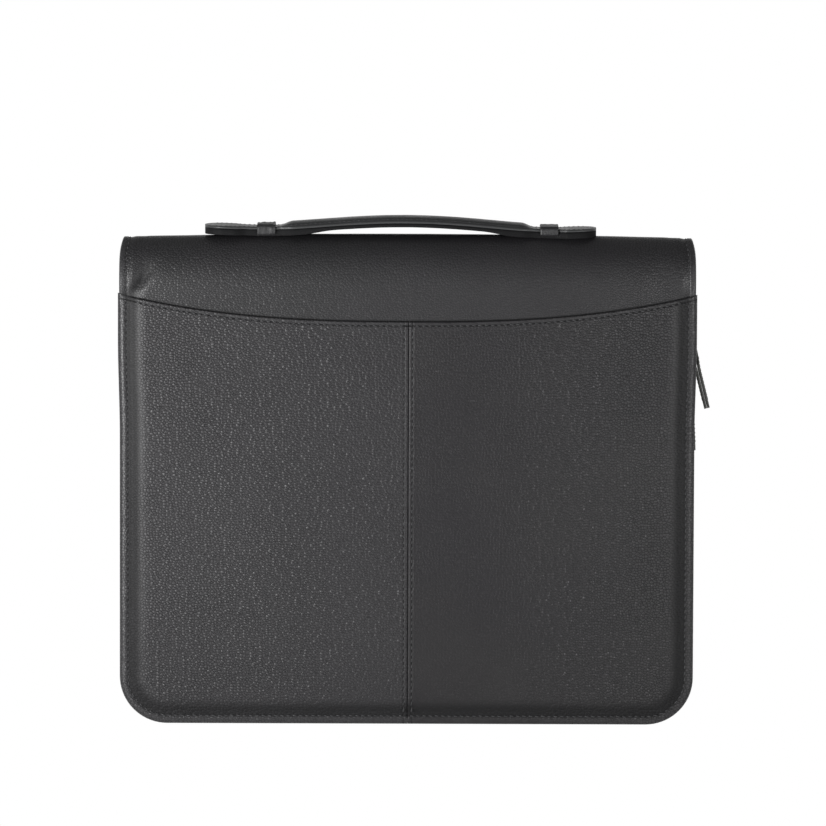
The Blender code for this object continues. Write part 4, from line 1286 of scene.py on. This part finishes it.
def make_grain_group():
    group, given, made = new_group("pebble_grain", [
        ("Place", "Vector", (0, 0, 0)), ("Cells", "Float", 600.0), ("Fine", "Float", 0.15),
    ], [("Height", "Float"), ("Crease", "Float")])
    place, cells = given["Place"], given["Cells"]

    def move(operation, one, other, socket=1):
        plugs = ((0, one), (socket, other))
        return add_node(group, "ShaderNodeVectorMath", *plugs, operation=operation).outputs[0]

    warp = noise_of(group, place, maths(group, "MULTIPLY", cells, 0.35), 1.0, noise_dimensions="2D")
    shift = move("SUBTRACT", warp["Color"], (0.5, 0.5, 0.5))
    spot = move("ADD", place, move("SCALE", shift, maths(group, "DIVIDE", 0.5, cells), 3))
    flat = move("MULTIPLY", spot, (1.0, 1.18, 1.0))
    shared = (("Vector", flat), ("Scale", cells), ("Randomness", 0.95))
    border = add_node(group, "ShaderNodeTexVoronoi", *shared, feature="DISTANCE_TO_EDGE",
                      voronoi_dimensions="2D").outputs["Distance"]
    cell = add_node(group, "ShaderNodeTexVoronoi", *shared, voronoi_dimensions="2D").outputs
    fine = noise_of(group, place, maths(group, "MULTIPLY", cells, 3.0), 2.0, noise_dimensions="2D")
    from_middle = maths(group, "MULTIPLY", cell["Distance"], 1.35)
    dome = maths(group, "SUBTRACT", 1.0, maths(group, "MULTIPLY", from_middle, from_middle))
    pebble = maths(group, "MULTIPLY", dome, ramp(group, border, 0.0, 0.16, 0.35, 1.0))
    random = add_node(group, "ShaderNodeSeparateColor", (0, cell["Color"])).outputs[0]
    tall = maths(group, "MULTIPLY", pebble, ramp(group, random, 0, 1, 0.75, 1.0, smooth=False))
    small = maths(group, "MULTIPLY", fine["Fac"], given["Fine"])
    group.links.new(maths(group, "ADD", tall, small), made["Height"])
    group.links.new(ramp(group, border, 0.0, 0.20, 1.0, 0.0), made["Crease"])
    return group


grain_group = make_grain_group()

# %% [markdown]
# A hide isn't the same all over. This group gives slow changes: where the grain is bold or smooth,
# where the black is a little greyer, and where handling has polished it.

# %% Node group: changes over the hide
HIDE_CHANGES = (
    # what changes, waves in a metre, and the range of the noise that becomes 0 to 1
    ("Boldness", 16.0, 0.35, 0.65),
    ("Tone", 9.0, 0.30, 0.70),
    ("Polish", 30.0, 0.35, 0.70),
)


def make_hide_group():
    group, given, made = new_group("hide_changes", [
        ("Place", "Vector", (0, 0, 0)), ("Shift", "Float", 0.0),
    ], [(title, "Float") for title, *_ in HIDE_CHANGES])
    moved = add_node(group, "ShaderNodeCombineXYZ", (0, given["Shift"]), (1, given["Shift"]))
    spot = add_node(group, "ShaderNodeVectorMath", (0, given["Place"]), (1, moved.outputs[0])).outputs[0]
    for title, scale, low, high in HIDE_CHANGES:
        group.links.new(ramp(group, noise_of(group, spot, scale, 3.0)["Fac"], low, high), made[title])
    return group


hide_group = make_hide_group()

# %% [markdown]
# Where leather is folded over an edge or drawn into a seam, the high line is rubbed lighter: partly
# wear, partly a painted highlight. The low line beside it is painted darker as shade, in the cover's
# finish. The group works on a distance that each piece keeps at its points.

# %% Node group: edge wear


def make_wear_group():
    group, given, made = new_group("edge_wear", [
        ("Place", "Vector", (0, 0, 0)), ("Distance", "Float", 0.0),
        ("Crest", "Float", 0.002), ("Width", "Float", 0.001),
    ], [("Worn", "Float")])
    off = maths(group, "ABSOLUTE", maths(group, "SUBTRACT", given["Distance"], given["Crest"]))
    near = maths(group, "SUBTRACT", 1.0, maths(group, "DIVIDE", off, given["Width"]), clamp=True)
    patchy = noise_of(group, given["Place"], 260.0, 4.0)["Fac"]
    worn = maths(group, "MULTIPLY", near, ramp(group, patchy, 0.35, 0.65, 0.35, 1.0))
    group.links.new(worn, made["Worn"])
    return group


wear_group = make_wear_group()

# %% [markdown]
# Dust is what keeps a dark finish from looking like a drawing. It lies as tiny specks, thicker in
# some places than in others, so the group multiplies a very fine noise by a slow one. Leather, tape
# and coil share it, each with its own amount.

# %% Node group: fine dust


def make_dust_group():
    group, given, made = new_group("fine_dust", [("Place", "Vector", (0, 0, 0))], [("Dust", "Float")])
    specks = ramp(group, noise_of(group, given["Place"], 1900.0, 1.0)["Fac"], 0.62, 0.75)
    cloud = ramp(group, noise_of(group, given["Place"], 22.0, 2.0)["Fac"], 0.4, 0.7)
    group.links.new(maths(group, "MULTIPLY", specks, cloud), made["Dust"])
    return group


dust_group = make_dust_group()


def dusted(tree, spot, amount, colour, grey=0.3):
    """A colour with a little dust on it."""
    dust = use_group(tree, dust_group, ("Place", spot))["Dust"]
    return blend_colour(tree, maths(tree, "MULTIPLY", dust, amount), colour, (grey, grey, grey, 1))


# %% [markdown]
# The black leather of the covers: dark dye, a soft sheen on the pebbles, dull creases. The creases,
# the stitched grooves, the valley behind the rim, the fold and the line where the pocket starts are
# also painted darker, as painted shade. The sheen is shared between the leather itself, whose bump
# breaks it up, and a thin coat of dressing that lies on the pebbles' tops and not in the creases. The
# same recipe makes the cover and the two pocket panels, each cut from another part of the hide: bold
# grain at the sides, smooth near the middle.

# %% Finish: cover leather
# The near black that the painted shade goes towards.
PAINTED_SHADE_BLACK = (0.004, 0.004, 0.0045, 1)
# A lighter grey for rubbed crests, which also paints the highlight on the rim's bead and on the hem.
RUBBED_HIGHLIGHT_GREY = (0.075, 0.075, 0.077, 1)


def groove_at(tree, distance, at):
    """1 in the groove that a row of stitches pulls into the leather, 0 beside it."""
    off = maths(tree, "ABSOLUTE", maths(tree, "SUBTRACT", distance, at))
    return ramp(tree, off, 0.2 * MM, 0.8 * MM, 1.0, 0.0)


def shaded_places(tree, inset, down, lip_reach):
    """Painted shade in the stitched grooves, the valley behind the rim, the fold and where the pocket starts.
    """
    valley = maths(tree, "MULTIPLY", ramp(tree, inset, 3.2 * MM, 4.4 * MM),
                   ramp(tree, inset, 8.5 * MM, 17.0 * MM, 1.0, 0.0))
    on_flat = maths(tree, "SUBTRACT", 0.80, maths(tree, "MULTIPLY", kept_value(tree, "rolled"), 0.70))
    folded = maths(tree, "MAXIMUM", maths(tree, "MULTIPLY", valley, on_flat),
                   maths(tree, "MULTIPLY", kept_value(tree, "crease"), 0.85))
    lip = ramp(tree, maths(tree, "ABSOLUTE", down), 0.2 * lip_reach, lip_reach, 1.0, 0.0)
    grooves = maths(tree, "MAXIMUM", groove_at(tree, down, 2.8 * MM),
                    groove_at(tree, kept_value(tree, "seam"), SEAM_STITCH))
    lines = maths(tree, "MAXIMUM", maths(tree, "MULTIPLY", lip, 0.8), maths(tree, "MULTIPLY", grooves, 0.85))
    return maths(tree, "MAXIMUM", folded, lines)


def worn_line(tree, spot, distance, crest, width):
    plugs = (("Place", spot), ("Distance", distance), ("Crest", crest), ("Width", width))
    return use_group(tree, wear_group, *plugs)["Worn"]


def cover_leather(name, cells, bump, shift, bold_from, bold_to, least_bold, dark, light, coat, lip_reach):
    """bold_from and bold_to are places across, between which the grain goes from bold to its least."""
    made, tree, shader = new_material(name)
    spot = object_place(tree)
    flat = add_node(tree, "ShaderNodeAttribute", attribute_name="hide_place").outputs["Vector"]
    inset, down = kept_value(tree, "inset"), kept_value(tree, "down")
    hide = use_group(tree, hide_group, ("Place", spot), ("Shift", shift))
    grain = use_group(tree, grain_group, ("Place", flat), ("Cells", cells), ("Fine", 0.05))
    worn = maths(tree, "MAXIMUM", worn_line(tree, spot, inset, 1.6 * MM, 2.2 * MM),
                 worn_line(tree, spot, down, 1.2 * MM, 1.2 * MM))
    # sunk: painted shade in the stitched grooves, the valley behind the rim, the fold and along the pocket's
    # edge.
    sunk = shaded_places(tree, inset, down, lip_reach)
    across = add_node(tree, "ShaderNodeSeparateXYZ", (0, spot)).outputs["X"]
    drift = maths(tree, "MAXIMUM", ramp(tree, across, bold_from, bold_to, 1.0, least_bold),
                  ramp(tree, across, 0.07, 0.15, 0.0, 1.0))
    bold = maths(tree, "MULTIPLY", drift, ramp(tree, hide["Boldness"], 0, 1, 0.85, 1.0))

    # The grain's creases or the shaded places, the stronger of the two: painted darker as shade, duller, with
    # less coat.
    def sunk_or_creased(amount):
        creases = maths(tree, "MULTIPLY", grain["Crease"], maths(tree, "MULTIPLY", bold, amount))
        return maths(tree, "MAXIMUM", creases, sunk)

    # Painted shade: low takes the colour towards near black in creases and shaded places, and also dulls
    # them.
    low = sunk_or_creased(0.8)
    tone = blend_colour(tree, hide["Tone"], (*dark, 1), (*light, 1))
    shaded_tone = blend_colour(tree, low, tone, PAINTED_SHADE_BLACK)
    # Lighter on the crests of the rim's bead and the hem: wear, and a painted highlight.
    rubbed_highlit = blend_colour(tree, maths(tree, "MULTIPLY", worn, 0.22), shaded_tone, RUBBED_HIGHLIGHT_GREY)
    dull = maths(tree, "ADD", coat, maths(tree, "MULTIPLY", low, 0.40))
    rough = maths(tree, "SUBTRACT", dull, maths(tree, "MULTIPLY", hide["Polish"], 0.04))
    top = maths(tree, "SUBTRACT", 1.0, sunk_or_creased(0.9), clamp=True)
    dressing = maths(tree, "MULTIPLY", top, ramp(tree, bold, 0.2, 1.0, 0.10, 0.6))
    feed(tree, shader, Base_Color=dusted(tree, spot, 0.08, rubbed_highlit), Roughness=rough, Coat_Weight=dressing)
    pressed = maths(tree, "SUBTRACT", 1.0, maths(tree, "MULTIPLY", worn, 0.75))
    pebbles = maths(tree, "MULTIPLY", grain["Height"], maths(tree, "MULTIPLY", bold, pressed))
    pits = maths(tree, "MULTIPLY", noise_of(tree, spot, 5200.0, 2.0)["Fac"], 0.03)
    raise_grain(tree, shader, maths(tree, "ADD", pebbles, pits), bump)
    shader.inputs["Coat Roughness"].default_value = coat
    shader.inputs["Specular IOR Level"].default_value = 0.32
    return made


def dress(finish, *pieces):
    for made in pieces:
        made.data.materials.clear()
        made.data.materials.append(finish)
    print(finish.name, "on", [made.name for made in pieces])


dress(cover_leather(
    "cover_hide", cells=600.0, bump=0.24 * MM, shift=0.0, bold_from=-0.16, bold_to=0.02, least_bold=0.65,
    dark=(0.015, 0.015, 0.016), light=(0.019, 0.018, 0.020), coat=0.40, lip_reach=1.3 * MM), cover)
dress(cover_leather(
    "left_hide", cells=500.0, bump=0.46 * MM, shift=3.7, bold_from=-0.12, bold_to=-0.005, least_bold=0.65,
    dark=(0.017, 0.016, 0.018), light=(0.021, 0.020, 0.022), coat=0.40, lip_reach=0.5 * MM), pocket_left)
dress(cover_leather(
    "right_hide", cells=520.0, bump=0.60 * MM, shift=8.1, bold_from=0.16, bold_to=0.03, least_bold=0.26,
    dark=(0.012, 0.011, 0.013), light=(0.016, 0.015, 0.016), coat=0.42, lip_reach=0.5 * MM), pocket_right)

# %% [markdown]
# The handle, the keepers and the pulls are cut from finer, smoother leather. Their cut edges are
# sealed with a smooth paint, so each piece keeps a number that says where its edge is, and the colour
# and the bump change there.

# %% Finish: handle leather and edge paint


def smooth_leather(name, cells, colour, edge_colour, rough, shine=0.5):
    """Finer, smoother leather, with its cut edges painted."""
    made, tree, shader = new_material(name)
    spot = object_place(tree)
    hide = use_group(tree, hide_group, ("Place", spot), ("Shift", 12.3))
    grain = use_group(tree, grain_group, ("Place", spot), ("Cells", cells), ("Fine", 0.35))
    edge = kept_value(tree, "edge")
    light = tuple(1.35 * c for c in colour)
    tone = blend_colour(tree, hide["Tone"], (*colour, 1), (*light, 1))
    # Painted shade: the grain's creases take the colour towards near black.
    crease = maths(tree, "MULTIPLY", grain["Crease"], 0.5)
    shaded_tone = blend_colour(tree, crease, tone, (0.006, 0.006, 0.007, 1))
    painted = blend_colour(tree, edge, dusted(tree, spot, 0.12, shaded_tone), (*edge_colour, 1))
    dull = maths(tree, "ADD", rough, maths(tree, "MULTIPLY", grain["Crease"], 0.15))
    polished = maths(tree, "SUBTRACT", dull, maths(tree, "MULTIPLY", hide["Polish"], 0.10))
    feed(tree, shader, Base_Color=painted, Roughness=polished)
    height = maths(tree, "MULTIPLY", grain["Height"], ramp(tree, edge, 0, 1, 1.0, 0.25))
    raise_grain(tree, shader, height, 0.06 * MM)
    shader.inputs["Specular IOR Level"].default_value = shine
    return made


dress(smooth_leather("handle_hide", 1500.0, (0.023, 0.024, 0.025), (0.030, 0.031, 0.032), 0.40), strap_upper)
# Painted shade: the under layer is the same leather as the grip, given a darker colour and edge because it
# lies in shade.
dress(smooth_leather("shaded_under_hide", 1500.0, (0.011, 0.011, 0.012), (0.008, 0.008, 0.0085), 0.72, 0.12),
      strap_lower)
dress(smooth_leather("keeper_hide", 1500.0, (0.015, 0.015, 0.016), (0.004, 0.004, 0.0044), 0.52), *keepers)
dress(smooth_leather("pull_hide", 1400.0, (0.034, 0.036, 0.033), (0.034, 0.035, 0.031), 0.45), *pulls)

# %% [markdown]
# Sewing thread is twisted from plies and waxed. Slanting waves give the twist, in the bump and in the
# gloss, and a noise makes some stitches greyer than others. A plain black would hide them in the
# leather.

# %% Finish: thread


def thread_finish():
    made, tree, shader = new_material("waxed_thread")
    spot = object_place(tree)
    plugs = (("Vector", spot), ("Scale", 900.0), ("Distortion", 1.5))
    ply = add_node(tree, "ShaderNodeTexWave", *plugs, bands_direction="DIAGONAL").outputs["Fac"]
    tint = noise_of(tree, spot, 400.0, 2.0)["Fac"]
    colour = blend_colour(tree, tint, (0.025, 0.025, 0.027, 1), (0.065, 0.065, 0.068, 1))
    feed(tree, shader, Base_Color=colour, Roughness=ramp(tree, ply, 0, 1, 0.45, 0.65))
    raise_grain(tree, shader, ply, 0.08 * MM, 0.6)
    return made


dress(thread_finish(), *thread_pieces)

# %% [markdown]
# The zip has three finishes. Its tapes are woven, so two sets of waves cross, and the gaps between
# the threads are duller and painted darker as shade. Its coil is glossy nylon. The sliders and rings
# are dark plated metal, with clouds in the colour and fine scratches in the gloss.

# %% Finish: woven tape, nylon coil, dark metal


def make_weave_group():
    group, given, made = new_group("weave", [
        ("Place", "Vector", (0, 0, 0)), ("Threads", "Float", 1400.0),
    ], [("Height", "Float"), ("Gap", "Float")])
    scale = maths(group, "MULTIPLY", given["Threads"], 0.3)
    plugs = (("Vector", given["Place"]), ("Scale", scale), ("Distortion", 0.4))
    one, other = [add_node(group, "ShaderNodeTexWave", *plugs, bands_direction=way).outputs["Fac"]
                  for way in ("Y", "DIAGONAL")]
    height = maths(group, "MAXIMUM", one, other)
    group.links.new(height, made["Height"])
    group.links.new(maths(group, "SUBTRACT", 1.0, height), made["Gap"])
    return group


weave_group = make_weave_group()


def tape_finish():
    made, tree, shader = new_material("zip_cloth")
    spot = object_place(tree)
    weave = use_group(tree, weave_group, ("Place", spot), ("Threads", 1500.0))
    # Painted shade: the gaps between the threads are darker.
    colour = blend_colour(tree, weave["Gap"], (0.016, 0.016, 0.018, 1), (0.005, 0.005, 0.006, 1))
    feed(tree, shader, Base_Color=dusted(tree, spot, 0.25, colour, grey=0.25),
         Roughness=ramp(tree, weave["Gap"], 0, 1, 0.75, 0.95))
    raise_grain(tree, shader, weave["Height"], 0.12 * MM, 0.8)
    return made


def coil_finish():
    made, tree, shader = new_material("nylon_coil")
    spot = object_place(tree)
    tint = noise_of(tree, spot, 700.0, 3.0)["Fac"]
    colour = blend_colour(tree, tint, (0.010, 0.010, 0.011, 1), (0.026, 0.026, 0.028, 1))
    feed(tree, shader, Base_Color=dusted(tree, spot, 0.2, colour, grey=0.25),
         Roughness=ramp(tree, tint, 0.3, 0.7, 0.28, 0.42))
    return made


def metal_finish():
    made, tree, shader = new_material("dark_metal")
    spot = object_place(tree)
    cloud = noise_of(tree, spot, 500.0, 4.0)["Fac"]
    plugs = (("Vector", spot), ("Scale", 2600.0), ("Detail", 2.0), ("Distortion", 3.0))
    scratch = add_node(tree, "ShaderNodeTexNoise", *plugs).outputs["Fac"]
    colour = blend_colour(tree, cloud, (0.16, 0.16, 0.165, 1), (0.30, 0.30, 0.305, 1))
    feed(tree, shader, Base_Color=colour, Roughness=ramp(tree, scratch, 0.35, 0.65, 0.22, 0.40))
    shader.inputs["Metallic"].default_value = 1.0
    raise_grain(tree, shader, scratch, 0.02 * MM, 0.3)
    return made


dress(tape_finish(), *tapes)
dress(coil_finish(), coil)
dress(metal_finish(), *sliders, *rings)
